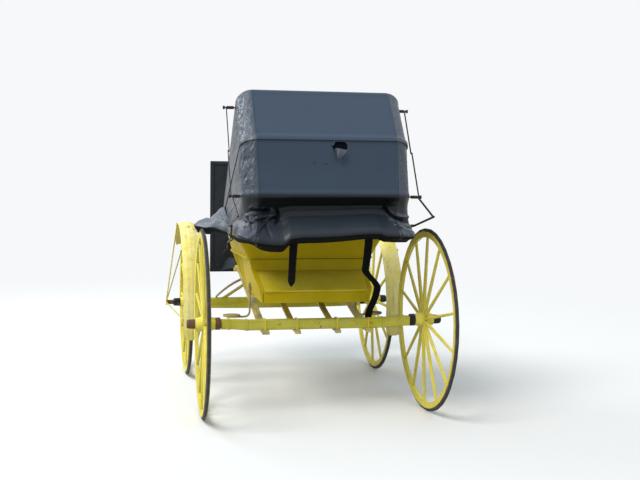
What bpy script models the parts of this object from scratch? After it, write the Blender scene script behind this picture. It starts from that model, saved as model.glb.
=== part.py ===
"""Hooded two-seat buggy with a boot, four wooden wheels and a folding leather hood.

Metres, +Z up, +Y forward.  The ground is at z = 0.  Every length below is measured
from the middle of the rear axle and the whole carriage hangs under one empty, which
puts the middle of the wheels' outline over the world origin.
"""
import math

import bmesh
import bpy
from mathutils import Matrix, Vector

# Clearance between pieces that touch
GAP = 0.0003

# Running gear
TRACK = 1.440               # middle of one tyre to the middle of the other
WHEELBASE = 1.320
REAR_WHEEL_RADIUS = 0.5842  # 46 inch wheel
FRONT_WHEEL_RADIUS = 0.5334  # 42 inch wheel
REAR_SPOKES = 14
FRONT_SPOKES = 12
GATHER = 0.020              # rear wheels toe in, radians
RIM_STEPS = 36              # facets round a rim, a multiple of four
NAVE_STEPS = 14             # facets round a nave and its bore

# Wheel sections
TYRE_WIDTH = 0.022
TYRE_DEPTH = 0.018
TREAD_WIDTH = 0.010
FELLOE_WIDTH = 0.028
FELLOE_DEPTH = 0.036
DISH = 0.018                # spokes lean out from the nave to the rim
SPOKE_ROOT_WIDTH = 0.022
SPOKE_ROOT_DEPTH = 0.027
SPOKE_TIP = 0.0185
NAVE_RADIUS = 0.048
NAVE_END_RADIUS = 0.036
NAVE_INNER = 0.081          # rim plane to the wood's inner end
NAVE_OUTER = 0.043          # rim plane to the wood's outer end
NAVE_BAND_WIDTH = 0.030
NAVE_BAND_RADIUS = 0.0385
NOSE_LENGTH = 0.051
NOSE_RADIUS = 0.030
SLEEVE_RADIUS = 0.024
ARM_RADIUS = 0.016
ARM_CLEARANCE = 0.0005

# Axle beds
REAR_BED_WIDTH = 0.056
REAR_BED_TOP = 0.603
REAR_BED_BOTTOM = 0.541
REAR_BED_STRAIGHT = 0.440   # half length of the straight middle
REAR_BED_END_LIFT = 0.006
FRONT_BED_WIDTH = 0.054
FRONT_BED_TOP = 0.560
FRONT_BED_BOTTOM = 0.482
BED_END_SPACE = 0.004       # bed end to the band of the nave

# Slats under the body, clipped beneath the rear axle bed
SLAT_INSET = 0.015          # outer slat's middle inside the box's side
SLAT_INNER_X = 0.128
SLAT_OUTER_WIDTH = 0.046
SLAT_INNER_WIDTH = 0.036
SLAT_THICKNESS = 0.016
SLAT_TAIL = 0.060           # length behind the middle of the rear axle
CLIP_WIDTH = 0.014
CLIP_THICKNESS = 0.005

# Front carriage
ARCH_HALF_SPAN = 0.500
ARCH_THICKNESS = 0.014
ARCH_WIDTH = 0.040
ARCH_CROWN = 0.737          # underside of the arch at its middle
ARCH_POWER = 2.8
BRACE_FOOT_X = 0.455
BRACE_HEAD_X = 0.215
BRACE_SIZE = 0.022
PLATE_RADIUS = 0.150
PLATE_THICKNESS = 0.008
KINGPIN_RADIUS = 0.011
HEAD_BLOCK_HALF = 0.365
HEAD_BLOCK_WIDTH = 0.060
HEAD_BLOCK_HEIGHT = 0.024

# Body box
BODY_REAR = 0.022
BODY_FRONT = 0.800
BODY_HALF_BOTTOM = 0.345
BODY_HALF_TOP = 0.395
SEAT_LEVEL = 0.957
WALL = 0.015
BOOT_LIP_HEIGHT = 0.7735
LIP_CHAMFER = 0.007         # keeps the rear face below the lid's nose
BOOT_LID_HEAD_Y = 0.250
BOOT_LID_HEAD_Z = 0.870
LID_THICKNESS = 0.014
LID_OVERHANG = 0.010
LID_INSET = 0.029           # the lid lies between the side boards
LID_SIDE_SPACE = 0.0015     # lid to the boards beside it
LID_LEDGE = 0.010           # battens that carry the lid's sides
LEDGE_DEPTH = 0.020
PILLAR_START = 0.715
PILLAR_FLARE = 0.045
PILLAR_PROUD = 0.0015       # a pillar's least height over the box's side
FRONT_FLOOR_THICKNESS = 0.018
FRONT_FLOOR_HALF = 0.300
SILL_HEIGHT = 0.060

# Seat panels
SEAT_HALF_BOTTOM = 0.405
SEAT_REAR_BOTTOM = 0.226
SEAT_CORNER = 0.020
SEAT_PANEL_HEIGHT = 0.148
SEAT_FLARE = 0.075
SEAT_PANEL_THICKNESS = 0.012
MOULDING = 0.009
MOULDING_HEIGHT = 0.014
REAR_MOULDING = 0.25        # share of the moulding that stands out at the back
CUSHION_HALF = 0.360
CUSHION_SETBACK = 0.020     # front of the box to the front of the cushion
CUSHION_THICKNESS = 0.100
BACKREST_HEIGHT = 0.330
BACKREST_THICKNESS = 0.080
BACKREST_HALF = 0.340
BACKREST_LEAN = 12.0        # degrees back from upright

# Dash
DASH_Y = 1.735
DASH_HALF = 0.503
DASH_BOTTOM = 0.708
DASH_TOP = 1.575
DASH_THICKNESS = 0.020
DASH_BORDER = 0.026
DASH_RECESS = 0.004         # the panel inside the border lies deeper
WING_LENGTH = 0.300
RING_RADIUS = 0.036
RING_WIRE = 0.005
RING_X = 0.372
RING_Z = 0.847
RING_DROP = 0.058           # bolt to the top of the ring

# Steps
STEP_Y = 0.440
STEP_LEVEL = 0.570
STEP_REACH = 0.485
STEP_PAD_HALF_X = 0.058
STEP_PAD_HALF_Y = 0.050
STEP_BAR = 0.007

# Hood
PIVOT_Y = 0.800
PIVOT_Z = 1.140
HOOD_HALF = 0.500           # middle of a bow's leg
BOW_RADIUS = 0.011
BOW_CORNER = 0.085
BOW_CORNER_STEPS = 5
BOW_COVER = 0.0008          # clearance from a bow to the leather over it
FRONT_BOW_ANGLE, FRONT_BOW_REACH = 46.9, 1.185
MIDDLE_BOW_ANGLE, MIDDLE_BOW_REACH = 29.4, 1.190
REAR_BOW_ANGLE, REAR_BOW_REACH = 12.9, 1.148
BOW_IRON_WIDTH = 0.020
BOW_IRON_THICKNESS = 0.0055
BOW_IRON_PITCH = 0.0062
BOW_IRON_LENGTH = 0.800
EYE_RADIUS = 0.016
PIN_RADIUS = 0.007
LEATHER = 0.003
LEATHER_SAG = 0.014
LEATHER_START = 0.110       # leather's distance from the pivot
APRON_HEM = 1.108
HEM_SAG = 0.048             # the loose lobe left of the middle
HEM_SAG_X = -0.330
HEM_RISE = 0.022            # towards the right
APRON_TUCK = 0.085
APRON_BULGE = 0.030
CORNER_BULGE = 0.022
HEM_CURL = 0.045
LEFT_FLAP_FLARE = 0.205
LEFT_FLAP_RISE = 0.090
RIGHT_FLAP_FLARE = 0.060
KNOB_RADIUS = 0.011
FRONT_KNOB_ARM = 1.060      # pivot to the knob on the front bow
REAR_KNOB_ARM = 1.080       # pivot to the knob on the rear bow
IRON_X = 0.569              # middle of the inner joint irons
IRON_WIDTH = 0.012
IRON_THICKNESS = 0.005
IRON_STEP = 0.0065          # inner joint irons to the outer ones
ELBOW_Y = -0.560
ELBOW_Z = 1.280
PROP_Y = -0.170
PROP_Z = 1.200
PROP_LOW = 1.082            # where the prop iron passes under the hem

# Mudguards
GUARD_SPACE = 0.040         # tyre to the guard
GUARD_WIDTH = 0.120
GUARD_CROWN = 0.014
GUARD_THICKNESS = 0.004
GUARD_FROM = 42.0           # degrees above forward
GUARD_TO = 198.5
STAY_RADIUS = 0.0045
STAY_ANGLES = (84.0, 134.0, 184.0)
STAY_PLATE = 0.008
BRACKET_STANDOFF = 0.045    # nose of the nave to the stays' bracket

# Straps
STRAP_WIDTH = 0.046
STRAP_THICKNESS = 0.004
LEFT_STRAP_X = -0.205
LEFT_STRAP_LENGTH = 0.262
RIGHT_STRAP_X = 0.255
RIGHT_STRAP_FOOT_X = 0.330
RIGHT_STRAP_FOOT_Y = -0.010
RIGHT_STRAP_BULGE = 0.022

# What follows from the sizes above
MIDDLE = (WHEELBASE + FRONT_WHEEL_RADIUS - REAR_WHEEL_RADIUS) / 2
NAVE_BACK = NAVE_INNER + NAVE_BAND_WIDTH + GAP
ARCH_FOOT = FRONT_BED_TOP + GAP
PLATE_BOTTOM = ARCH_CROWN + ARCH_THICKNESS + GAP
HEAD_BLOCK_BOTTOM = PLATE_BOTTOM + PLATE_THICKNESS + GAP
SLAT_FOOT = REAR_BED_BOTTOM - GAP
SLAT_HEAD = HEAD_BLOCK_BOTTOM + HEAD_BLOCK_HEIGHT + GAP + SLAT_THICKNESS
PIVOT = Vector((0, PIVOT_Y, PIVOT_Z))
SLAT_OUTER_X = BODY_HALF_BOTTOM - SLAT_INSET    # the outer slats lie under the box's sides
BOWS = {"front": (FRONT_BOW_ANGLE, FRONT_BOW_REACH), "middle": (MIDDLE_BOW_ANGLE, MIDDLE_BOW_REACH),
        "rear": (REAR_BOW_ANGLE, REAR_BOW_REACH)}


def slat_height(y):
    """Top of a slat: level under the rear bed, then a climb to the head block."""
    start = REAR_BED_WIDTH / 2 + CLIP_THICKNESS
    end = WHEELBASE - HEAD_BLOCK_WIDTH / 2
    if y <= start:
        return SLAT_FOOT - 0.012 * min(1.0, max(0.0, (-start - y) / 0.05))
    t = min(1.0, (y - start) / (end - start))
    t += 0.25 * (t * t * (3 - 2 * t) - t)
    return SLAT_FOOT + (SLAT_HEAD - SLAT_FOOT) * t


BODY_BOTTOM = slat_height(BODY_FRONT) + GAP     # the box's front edge rests on the slats
FRONT_FLOOR_Z = SLAT_HEAD + GAP

for old in list(bpy.data.objects):
    bpy.data.objects.remove(old, do_unlink=True)

scene = bpy.context.scene
parts = bpy.data.collections.new("hooded_buggy")
cutters = bpy.data.collections.new("cutters")
scene.collection.children.link(parts)
scene.collection.children.link(cutters)
root = bpy.data.objects.new("buggy_origin", None)
root.location = (0, -MIDDLE, 0)
parts.objects.link(root)


def material(name, colour, roughness, metallic=0.0):
    m = bpy.data.materials.new(name)
    m.use_nodes = True
    shader = m.node_tree.nodes["Principled BSDF"]
    shader.inputs["Base Color"].default_value = (*colour, 1)
    shader.inputs["Roughness"].default_value = roughness
    shader.inputs["Metallic"].default_value = metallic
    m.diffuse_color = (*colour, 1)
    return m


PAINT = {
    "wheel": ((0.74, 0.60, 0.22), 0.50),
    "body": ((0.60, 0.45, 0.03), 0.42),
    "gear": ((0.66, 0.54, 0.20), 0.55),
    "guard": ((0.80, 0.70, 0.42), 0.50),
    "leather": ((0.035, 0.045, 0.065), 0.45),
    "rubber": ((0.03, 0.03, 0.035), 0.80),
    "iron": ((0.09, 0.075, 0.065), 0.60),
    "slat": ((0.42, 0.33, 0.20), 0.65),
}


def paint(obj, kind):
    colour, roughness = PAINT[kind]
    metallic = 0.7 if kind == "iron" else 0.0
    obj.data.materials.clear()
    obj.data.materials.append(material(obj.name + "_" + kind, colour, roughness, metallic))


def place(obj, name, kind, parent=None, smooth=35):
    """Name a finished piece, colour it and hang it under its parent."""
    obj.name = name
    obj.data.name = name
    obj.parent = parent or root
    paint(obj, kind)
    if obj.type == "MESH" and smooth:
        obj.data.shade_smooth()
        obj.data.set_sharp_from_angle(angle=math.radians(smooth))
    return obj


def link_mesh(mesh, name="piece", where=None):
    obj = bpy.data.objects.new(name, mesh)
    (where or parts).objects.link(obj)
    return obj


def from_bmesh(bm, name="piece", clean=True):
    if clean:
        bmesh.ops.remove_doubles(bm, verts=bm.verts, dist=1e-6)
        bmesh.ops.recalc_face_normals(bm, faces=bm.faces)
    mesh = bpy.data.meshes.new(name)
    bm.to_mesh(mesh)
    bm.free()
    return link_mesh(mesh, name)


def baked(obj):
    """Apply the modifiers of an object, or turn a curve into a closed mesh."""
    bpy.context.view_layer.update()
    graph = bpy.context.evaluated_depsgraph_get()
    mesh = bpy.data.meshes.new_from_object(obj.evaluated_get(graph))
    bm = bmesh.new()
    bm.from_mesh(mesh)
    bmesh.ops.remove_doubles(bm, verts=bm.verts, dist=1e-5)
    bmesh.ops.dissolve_degenerate(bm, edges=bm.edges, dist=1e-6)
    bmesh.ops.delete(bm, geom=[e for e in bm.edges if not e.link_faces], context="EDGES")
    bmesh.ops.recalc_face_normals(bm, faces=bm.faces)
    bm.to_mesh(mesh)
    bm.free()
    new = link_mesh(mesh, obj.name + "_mesh")
    new.matrix_world = obj.matrix_world.copy()
    bpy.data.objects.remove(obj, do_unlink=True)
    return new


def boolean(obj, others, operation):
    """Join to, or cut from, a piece and bake the result."""
    for other in others:
        m = obj.modifiers.new(operation.lower(), "BOOLEAN")
        m.operation = operation
        m.solver = "EXACT"
        m.object = other
    new = baked(obj)
    for other in others:
        for c in list(other.users_collection):
            c.objects.unlink(other)
        cutters.objects.link(other)
        other.hide_render = True
        other.display_type = "WIRE"
    for other in others:
        bpy.data.objects.remove(other, do_unlink=True)
    return new


def join(*objs):
    return boolean(objs[0], list(objs[1:]), "UNION")


def cut(obj, *others):
    return boolean(obj, list(others), "DIFFERENCE")


def block(x0, x1, y0, y1, z0, z1, bevel=0.0):
    bm = bmesh.new()
    bmesh.ops.create_cube(bm, size=1)
    bmesh.ops.scale(bm, verts=bm.verts, vec=(x1 - x0, y1 - y0, z1 - z0))
    bmesh.ops.translate(bm, verts=bm.verts, vec=((x0 + x1) / 2, (y0 + y1) / 2, (z0 + z1) / 2))
    obj = from_bmesh(bm)
    if bevel:
        m = obj.modifiers.new("edges", "BEVEL")
        m.width = bevel
        m.segments = 1
        m.limit_method = "ANGLE"
    return obj


def rod(start, end, radius, sides=12, end_radius=None):
    """A straight round bar between two points."""
    start, end = Vector(start), Vector(end)
    bm = bmesh.new()
    bmesh.ops.create_cone(bm, cap_ends=True, segments=sides, radius1=radius,
                          radius2=radius if end_radius is None else end_radius,
                          depth=(end - start).length)
    turn = (end - start).to_track_quat("Z", "Y").to_matrix().to_4x4()
    bmesh.ops.transform(bm, verts=bm.verts, matrix=Matrix.Translation((start + end) / 2) @ turn)
    return from_bmesh(bm)


def turned(profile, steps, closed=False):
    """Turn a profile of (along the axis, radius) points round the X axis."""
    mesh = bpy.data.meshes.new("profile")
    count = len(profile)
    edges = [(i, i + 1) for i in range(count - 1)] + ([(count - 1, 0)] if closed else [])
    mesh.from_pydata([(a, r, 0) for a, r in profile], edges, [])
    obj = link_mesh(mesh)
    m = obj.modifiers.new("turn", "SCREW")
    m.axis = "X"
    m.steps = m.render_steps = steps
    m.use_merge_vertices = True
    m.merge_threshold = 1e-5
    return baked(obj)


def rim(profile):
    """Turn a rim's profile so that a flat facet, and not a corner, meets the ground."""
    obj = turned([(a, r / math.cos(math.pi / RIM_STEPS)) for a, r in profile], RIM_STEPS, closed=True)
    obj.data.transform(Matrix.Rotation(math.pi / RIM_STEPS, 4, "X"))
    return obj


def extruded(outline, half, axis="X"):
    """A flat outline with thickness, standing in YZ for axis X or lying in XY for axis Z."""
    curve = bpy.data.curves.new("outline", "CURVE")
    curve.dimensions = "2D"
    curve.fill_mode = "BOTH"
    curve.extrude = half
    spline = curve.splines.new("POLY")
    spline.points.add(len(outline) - 1)
    for point, (a, b) in zip(spline.points, outline):
        point.co = (a, b, 0, 1)
    spline.use_cyclic_u = True
    obj = bpy.data.objects.new("outline", curve)
    parts.objects.link(obj)
    if axis == "X":
        obj.matrix_world = Matrix(((0, 0, 1, 0), (1, 0, 0, 0), (0, 1, 0, 0), (0, 0, 0, 1)))
    new = baked(obj)
    new.data.transform(new.matrix_world)
    new.matrix_world = Matrix.Identity(4)
    return new


def wire(points, radius, resolution=1, cyclic=False):
    """A bent round bar through the points, as a closed mesh."""
    curve = bpy.data.curves.new("wire", "CURVE")
    curve.dimensions = "3D"
    curve.bevel_depth = radius
    curve.bevel_resolution = resolution
    curve.use_fill_caps = True
    spline = curve.splines.new("POLY")
    spline.points.add(len(points) - 1)
    for point, co in zip(spline.points, points):
        point.co = (*co, 1)
    spline.use_cyclic_u = cyclic
    obj = bpy.data.objects.new("wire", curve)
    parts.objects.link(obj)
    return baked(obj)


def loft(rings, closed_path=False):
    """Skin rings of equal point counts, with caps unless the path closes."""
    bm = bmesh.new()
    made = [[bm.verts.new(p) for p in ring] for ring in rings]
    count = len(made[0])
    spans = len(made) if closed_path else len(made) - 1
    for i in range(spans):
        a, b = made[i], made[(i + 1) % len(made)]
        for j in range(count):
            k = (j + 1) % count
            bm.faces.new((a[j], a[k], b[k], b[j]))
    if not closed_path:
        bm.faces.new(made[0])
        bm.faces.new(list(reversed(made[-1])))
    return from_bmesh(bm)


def sheet(rows, thickness, offset=1.0):
    """An open surface through rows of points, thickened by Solidify."""
    bm = bmesh.new()
    made = [[bm.verts.new(p) for p in row] for row in rows]
    for a, b in zip(made, made[1:]):
        for j in range(len(a) - 1):
            bm.faces.new((a[j], a[j + 1], b[j + 1], b[j]))
    mesh = bpy.data.meshes.new("sheet")
    bm.to_mesh(mesh)
    bm.free()
    obj = link_mesh(mesh)
    m = obj.modifiers.new("thickness", "SOLIDIFY")
    m.thickness = thickness
    m.offset = offset
    return baked(obj)


def arc(centre, radius, start, end, steps):
    """Points on a circle, degrees."""
    return [(centre[0] + radius * math.cos(math.radians(start + (end - start) * i / steps)),
             centre[1] + radius * math.sin(math.radians(start + (end - start) * i / steps)))
            for i in range(steps + 1)]


def blend(a, b, t):
    return a + (b - a) * t


def smooth(t):
    t = min(1.0, max(0.0, t))
    return t * t * (3 - 2 * t)


# Wheels: each is built round X with +X outwards and its rim plane at x = 0

def wheel_wood(radius, spokes):
    """Felloe ring, spokes and nave of one wheel, joined."""
    outer = radius - TYRE_DEPTH - GAP
    inner = outer - FELLOE_DEPTH
    w = FELLOE_WIDTH / 2
    felloe = rim([(-w, outer), (w, outer), (w * 0.72, inner), (-w * 0.72, inner)])
    bore = SLEEVE_RADIUS + GAP
    nave = turned([(-NAVE_INNER, bore), (-NAVE_INNER, NAVE_END_RADIUS),
                   (-DISH - SPOKE_ROOT_DEPTH * 0.6, NAVE_RADIUS),
                   (-DISH + SPOKE_ROOT_DEPTH * 0.6, NAVE_RADIUS),
                   (NAVE_OUTER, NAVE_END_RADIUS * 0.97), (NAVE_OUTER, bore)], NAVE_STEPS, closed=True)
    root_at = NAVE_RADIUS - 0.009
    tip_at = blend(outer, inner, 0.55)
    sections = ((root_at, SPOKE_ROOT_WIDTH, SPOKE_ROOT_DEPTH), (tip_at, SPOKE_TIP, SPOKE_TIP))
    pieces = [felloe]
    for i in range(spokes):
        turn = Matrix.Rotation(math.radians(90 + 360 * i / spokes), 4, "X")
        rings = []
        for at, wide, deep in sections:
            lean = -DISH * (tip_at - at) / (tip_at - root_at)
            ring = []
            for k in range(6):
                a = math.radians(60 * k + 30)
                ring.append(turn @ Vector((lean + deep / 2 * math.sin(a), at, wide / 2 * math.cos(a))))
            rings.append(ring)
        pieces.append(loft(rings))
    bm = bmesh.new()
    for spoke in pieces[1:]:
        bm.from_mesh(spoke.data)
        bpy.data.objects.remove(spoke, do_unlink=True)
    return join(felloe, from_bmesh(bm), nave)


def tyre(radius):
    w, t = TYRE_WIDTH / 2, TREAD_WIDTH / 2
    inner = radius - TYRE_DEPTH
    return rim([(-w, inner), (-t, radius), (t, radius), (w, inner)])


def axle_box(through):
    """Iron sleeve in the nave with its back band and its nose."""
    bore = ARM_RADIUS + ARM_CLEARANCE
    back = -NAVE_INNER - GAP
    out = NAVE_OUTER + GAP
    end = out + NOSE_LENGTH
    profile = [(back - NAVE_BAND_WIDTH, bore), (back - NAVE_BAND_WIDTH, NAVE_BAND_RADIUS),
               (back, NAVE_BAND_RADIUS), (back, SLEEVE_RADIUS), (out, SLEEVE_RADIUS), (out, NOSE_RADIUS),
               (end - 0.008, NOSE_RADIUS - 0.002), (end, NOSE_RADIUS - 0.008)]
    if through:
        return turned(profile + [(end, bore)], NAVE_STEPS, closed=True)
    return turned(profile + [(end, 0), (end - 0.012, 0), (end - 0.012, bore),
                             (back - NAVE_BAND_WIDTH, bore)], NAVE_STEPS)


def wheel_set(prefix, radius, spokes, y, turn):
    """The pieces of a left and a right wheel, which share their meshes."""
    wood = wheel_wood(radius, spokes)
    rubber = tyre(radius)
    box = axle_box(through=prefix == "front")
    for side, sign in (("left", -1), ("right", 1)):
        angle = turn if sign > 0 else math.pi - turn
        hub = bpy.data.objects.new(prefix + "_" + side + "_hub_point", None)
        hub.location = (sign * TRACK / 2, y, radius)
        hub.rotation_euler = (0, 0, angle)
        hub.parent = root
        parts.objects.link(hub)
        for piece, name, kind in ((wood, "wheel", "wheel"), (rubber, "tyre", "rubber"),
                                  (box, "axle_box", "iron")):
            obj = piece if sign < 0 else link_mesh(piece.data)
            place(obj, prefix + "_" + side + "_" + name, kind, hub)


wheel_set("rear", REAR_WHEEL_RADIUS, REAR_SPOKES, 0, GATHER)
wheel_set("front", FRONT_WHEEL_RADIUS, FRONT_SPOKES, WHEELBASE, 0)

# Rear axle: a wooden bed bored for the iron axle that carries the wheels

bed_end = TRACK / 2 - NAVE_BACK - BED_END_SPACE
half = REAR_BED_WIDTH / 2
knee = blend(REAR_BED_STRAIGHT, bed_end, 0.55)
lift = REAR_BED_END_LIFT
bed = extruded([(-bed_end, REAR_BED_BOTTOM + lift * 1.6), (-knee, REAR_BED_BOTTOM + lift * 1.5),
                (-REAR_BED_STRAIGHT, REAR_BED_BOTTOM), (REAR_BED_STRAIGHT, REAR_BED_BOTTOM),
                (knee, REAR_BED_BOTTOM + lift * 1.5), (bed_end, REAR_BED_BOTTOM + lift * 1.6),
                (bed_end, REAR_BED_TOP + lift), (knee, REAR_BED_TOP + lift),
                (REAR_BED_STRAIGHT, REAR_BED_TOP), (-REAR_BED_STRAIGHT, REAR_BED_TOP),
                (-knee, REAR_BED_TOP + lift), (-bed_end, REAR_BED_TOP + lift)], half, axis="Z")
bed.data.transform(Matrix.Rotation(math.radians(90), 4, "X"))


def axle_iron(y, z, turn, reach):
    """Straight iron axle whose two arms follow the wheels' gather."""
    middle = rod((-bed_end - 0.002, y, z), (bed_end + 0.002, y, z), ARM_RADIUS - 0.002, 12)
    collar = ARM_RADIUS + 0.010
    arms = []
    for sign in (-1, 1):
        out = Vector((sign * math.cos(turn), math.sin(turn), 0))
        centre = Vector((sign * TRACK / 2, y, z))
        inner = NAVE_BACK + BED_END_SPACE - GAP - collar * turn
        arms.append(rod(centre - out * (NAVE_BACK + GAP * 2), centre + out * reach, ARM_RADIUS, 12))
        arms.append(rod(centre - out * inner, centre - out * (NAVE_BACK + GAP), collar, 12))
    return join(middle, *arms)


blind = NAVE_OUTER + NOSE_LENGTH - 0.014
rear_iron = axle_iron(0, REAR_WHEEL_RADIUS, GATHER, blind)
place(rear_iron, "rear_axle_iron", "iron")
bore = rod((-bed_end - 0.01, 0, REAR_WHEEL_RADIUS), (bed_end + 0.01, 0, REAR_WHEEL_RADIUS),
           ARM_RADIUS - 0.002 + GAP, 12)
m = bed.modifiers.new("edges", "BEVEL")
m.width = 0.005
m.segments = 1
m.limit_method = "ANGLE"
bed = cut(baked(bed), bore)
place(bed, "rear_axle_bed", "gear")

# Four ash slats run from beneath the rear axle bed up to the head block in front

slat_front_y = WHEELBASE + HEAD_BLOCK_WIDTH / 2 + 0.012

for number, (x, width) in enumerate(((-SLAT_OUTER_X, SLAT_OUTER_WIDTH), (-SLAT_INNER_X, SLAT_INNER_WIDTH),
                                     (SLAT_INNER_X, SLAT_INNER_WIDTH), (SLAT_OUTER_X, SLAT_OUTER_WIDTH)), 1):
    rings = []
    stations = [-SLAT_TAIL, -0.040, -REAR_BED_WIDTH / 2 - CLIP_THICKNESS, REAR_BED_WIDTH / 2 + CLIP_THICKNESS]
    steps = 7
    last = WHEELBASE - HEAD_BLOCK_WIDTH / 2
    stations += [blend(stations[-1], last, (i + 1) / steps) for i in range(steps)] + [slat_front_y]
    for y in stations:
        top = slat_height(y)
        rings.append([(x - width / 2, y, top), (x + width / 2, y, top),
                      (x + width / 2, y, top - SLAT_THICKNESS), (x - width / 2, y, top - SLAT_THICKNESS)])
    # Clip round the bed, through slots in the slat
    y0 = REAR_BED_WIDTH / 2 + GAP
    top, bottom = REAR_BED_TOP + GAP, SLAT_FOOT - SLAT_THICKNESS - GAP
    slots = [block(x - CLIP_WIDTH / 2 - GAP, x + CLIP_WIDTH / 2 + GAP, *sorted((sign * (y0 - GAP), sign * (
        y0 + CLIP_THICKNESS + GAP))), bottom - 0.01, REAR_BED_BOTTOM + 0.01) for sign in (-1, 1)]
    place(cut(loft(rings), *slots), "slat_%d" % number, "slat")
    outside = block(x - CLIP_WIDTH / 2, x + CLIP_WIDTH / 2, -y0 - CLIP_THICKNESS, y0 + CLIP_THICKNESS,
                    bottom - CLIP_THICKNESS, top + CLIP_THICKNESS, 0.002)
    inside = block(x - CLIP_WIDTH, x + CLIP_WIDTH, -y0, y0, bottom, top)
    place(cut(baked(outside), inside), "rear_clip_%d" % number, "gear")

# Front axle: bed, iron, arched spring, plate and kingpin, all turning with the wheels

steer = bpy.data.objects.new("kingpin_point", None)
steer.location = (0, WHEELBASE, 0)
steer.parent = root
parts.objects.link(steer)

half = FRONT_BED_WIDTH / 2
bed = extruded([(-bed_end, FRONT_BED_BOTTOM + 0.006), (-0.300, FRONT_BED_BOTTOM), (0.300, FRONT_BED_BOTTOM),
                (bed_end, FRONT_BED_BOTTOM + 0.006), (bed_end, FRONT_BED_TOP),
                (-bed_end, FRONT_BED_TOP)], half, axis="Z")
bed.data.transform(Matrix.Rotation(math.radians(90), 4, "X"))
m = bed.modifiers.new("edges", "BEVEL")
m.width = 0.005
m.segments = 1
m.limit_method = "ANGLE"
bed = baked(bed)


def arch_height(x):
    """Underside of the arched spring at a distance from the middle."""
    t = min(1.0, abs(x) / ARCH_HALF_SPAN)
    return ARCH_FOOT + (ARCH_CROWN - ARCH_FOOT) * (1 - t ** ARCH_POWER)


head_z = arch_height(BRACE_HEAD_X + BRACE_SIZE * 0.62) - 0.0015
braces = []
for sign in (-1, 1):
    foot = Vector((sign * BRACE_FOOT_X, 0, FRONT_BED_TOP - 0.012))
    head = Vector((sign * BRACE_HEAD_X, 0, head_z - BRACE_SIZE * 0.5))
    braces.append(rod(foot, head, BRACE_SIZE / 2, 8))
    braces.append(rod((sign * BRACE_HEAD_X, 0, head_z - BRACE_SIZE * 1.1), (sign * BRACE_HEAD_X, 0, head_z - 0.002),
                      BRACE_SIZE * 0.62, 8))
bed = join(bed, *braces)
bore = rod((-bed_end - 0.01, 0, FRONT_WHEEL_RADIUS), (bed_end + 0.01, 0, FRONT_WHEEL_RADIUS),
           ARM_RADIUS - 0.002 + GAP, 12)
place(cut(bed, bore), "front_axle_bed", "gear", steer)

arm_out = NAVE_OUTER + NOSE_LENGTH + BRACKET_STANDOFF
iron = axle_iron(0, FRONT_WHEEL_RADIUS, 0, arm_out)
place(iron, "front_axle_iron", "iron", steer)

rings = []
arch_steps = 22
for i in range(arch_steps + 1):
    a = math.pi * (1 - i / arch_steps)
    x = ARCH_HALF_SPAN * math.copysign(abs(math.cos(a)) ** 0.8, math.cos(a)) if abs(math.cos(a)) > 1e-9 else 0.0
    under = arch_height(x)
    slope = (arch_height(x + 0.002) - arch_height(x - 0.002)) / 0.004
    if abs(x) > ARCH_HALF_SPAN - 0.004:
        slope = math.copysign(0.0, -x)
    thick = ARCH_THICKNESS * blend(1.0, 0.55, (abs(x) / ARCH_HALF_SPAN) ** 2)
    up = Vector((-slope, 0, 1)).normalized() * thick
    deep = ARCH_WIDTH / 2
    rings.append([(x, -deep, under), (x, deep, under), (x + up.x, deep, under + up.z), (x + up.x, -deep, under + up.z)])
place(loft(rings), "front_spring", "iron", steer)

plate = rod((0, 0, PLATE_BOTTOM), (0, 0, PLATE_BOTTOM + PLATE_THICKNESS), PLATE_RADIUS, 24)
pin_top = HEAD_BLOCK_BOTTOM + HEAD_BLOCK_HEIGHT
pin = rod((0, 0, PLATE_BOTTOM + PLATE_THICKNESS / 2), (0, 0, pin_top - 0.002), KINGPIN_RADIUS, 16)
place(join(plate, pin), "turning_plate", "iron", steer)

block_y = HEAD_BLOCK_WIDTH / 2
head = block(-HEAD_BLOCK_HALF, HEAD_BLOCK_HALF, WHEELBASE - block_y, WHEELBASE + block_y,
             HEAD_BLOCK_BOTTOM, HEAD_BLOCK_BOTTOM + HEAD_BLOCK_HEIGHT, 0.003)
disc = rod((0, WHEELBASE, HEAD_BLOCK_BOTTOM), (0, WHEELBASE, HEAD_BLOCK_BOTTOM + 0.006), PLATE_RADIUS, 24)
hole = rod((0, WHEELBASE, HEAD_BLOCK_BOTTOM - 0.01), (0, WHEELBASE, pin_top + 0.01),
           KINGPIN_RADIUS + ARM_CLEARANCE, 16)
place(cut(join(baked(head), disc), hole), "head_block", "gear")

# Body box with its boot, riser, front pillars and front floor


def side_at(z):
    """Half width of the box at a height."""
    return blend(BODY_HALF_BOTTOM, BODY_HALF_TOP, (z - BODY_BOTTOM) / (SEAT_LEVEL - BODY_BOTTOM))


def taper(obj):
    """Widen a block drawn at the bottom width to the box's flared sides."""
    for v in obj.data.vertices:
        v.co.x *= side_at(v.co.z) / BODY_HALF_BOTTOM
    return obj


lid_run = Vector((0, BOOT_LID_HEAD_Y - BODY_REAR, BOOT_LID_HEAD_Z - BOOT_LIP_HEIGHT))
lid_way = lid_run.normalized()
lid_up = Vector((0, -lid_way.z, lid_way.y))
seat_z = SEAT_LEVEL
lip_rise = LIP_CHAMFER / 2 * lid_run.z / lid_run.y
side_rise = (LID_THICKNESS + GAP) / lid_way.y      # the side boards stand level with the lid
rear_inside = BODY_REAR + WALL
neck = BOOT_LID_HEAD_Y - WALL * 0.6
neck_top = BOOT_LID_HEAD_Z - WALL * 1.6
shell = extruded([(BODY_REAR, BODY_BOTTOM), (BODY_REAR, BOOT_LIP_HEIGHT + side_rise),
                  (BOOT_LID_HEAD_Y, BOOT_LID_HEAD_Z + side_rise), (BOOT_LID_HEAD_Y, seat_z),
                  (BODY_FRONT, seat_z), (BODY_FRONT, BODY_BOTTOM)], BODY_HALF_BOTTOM)
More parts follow.
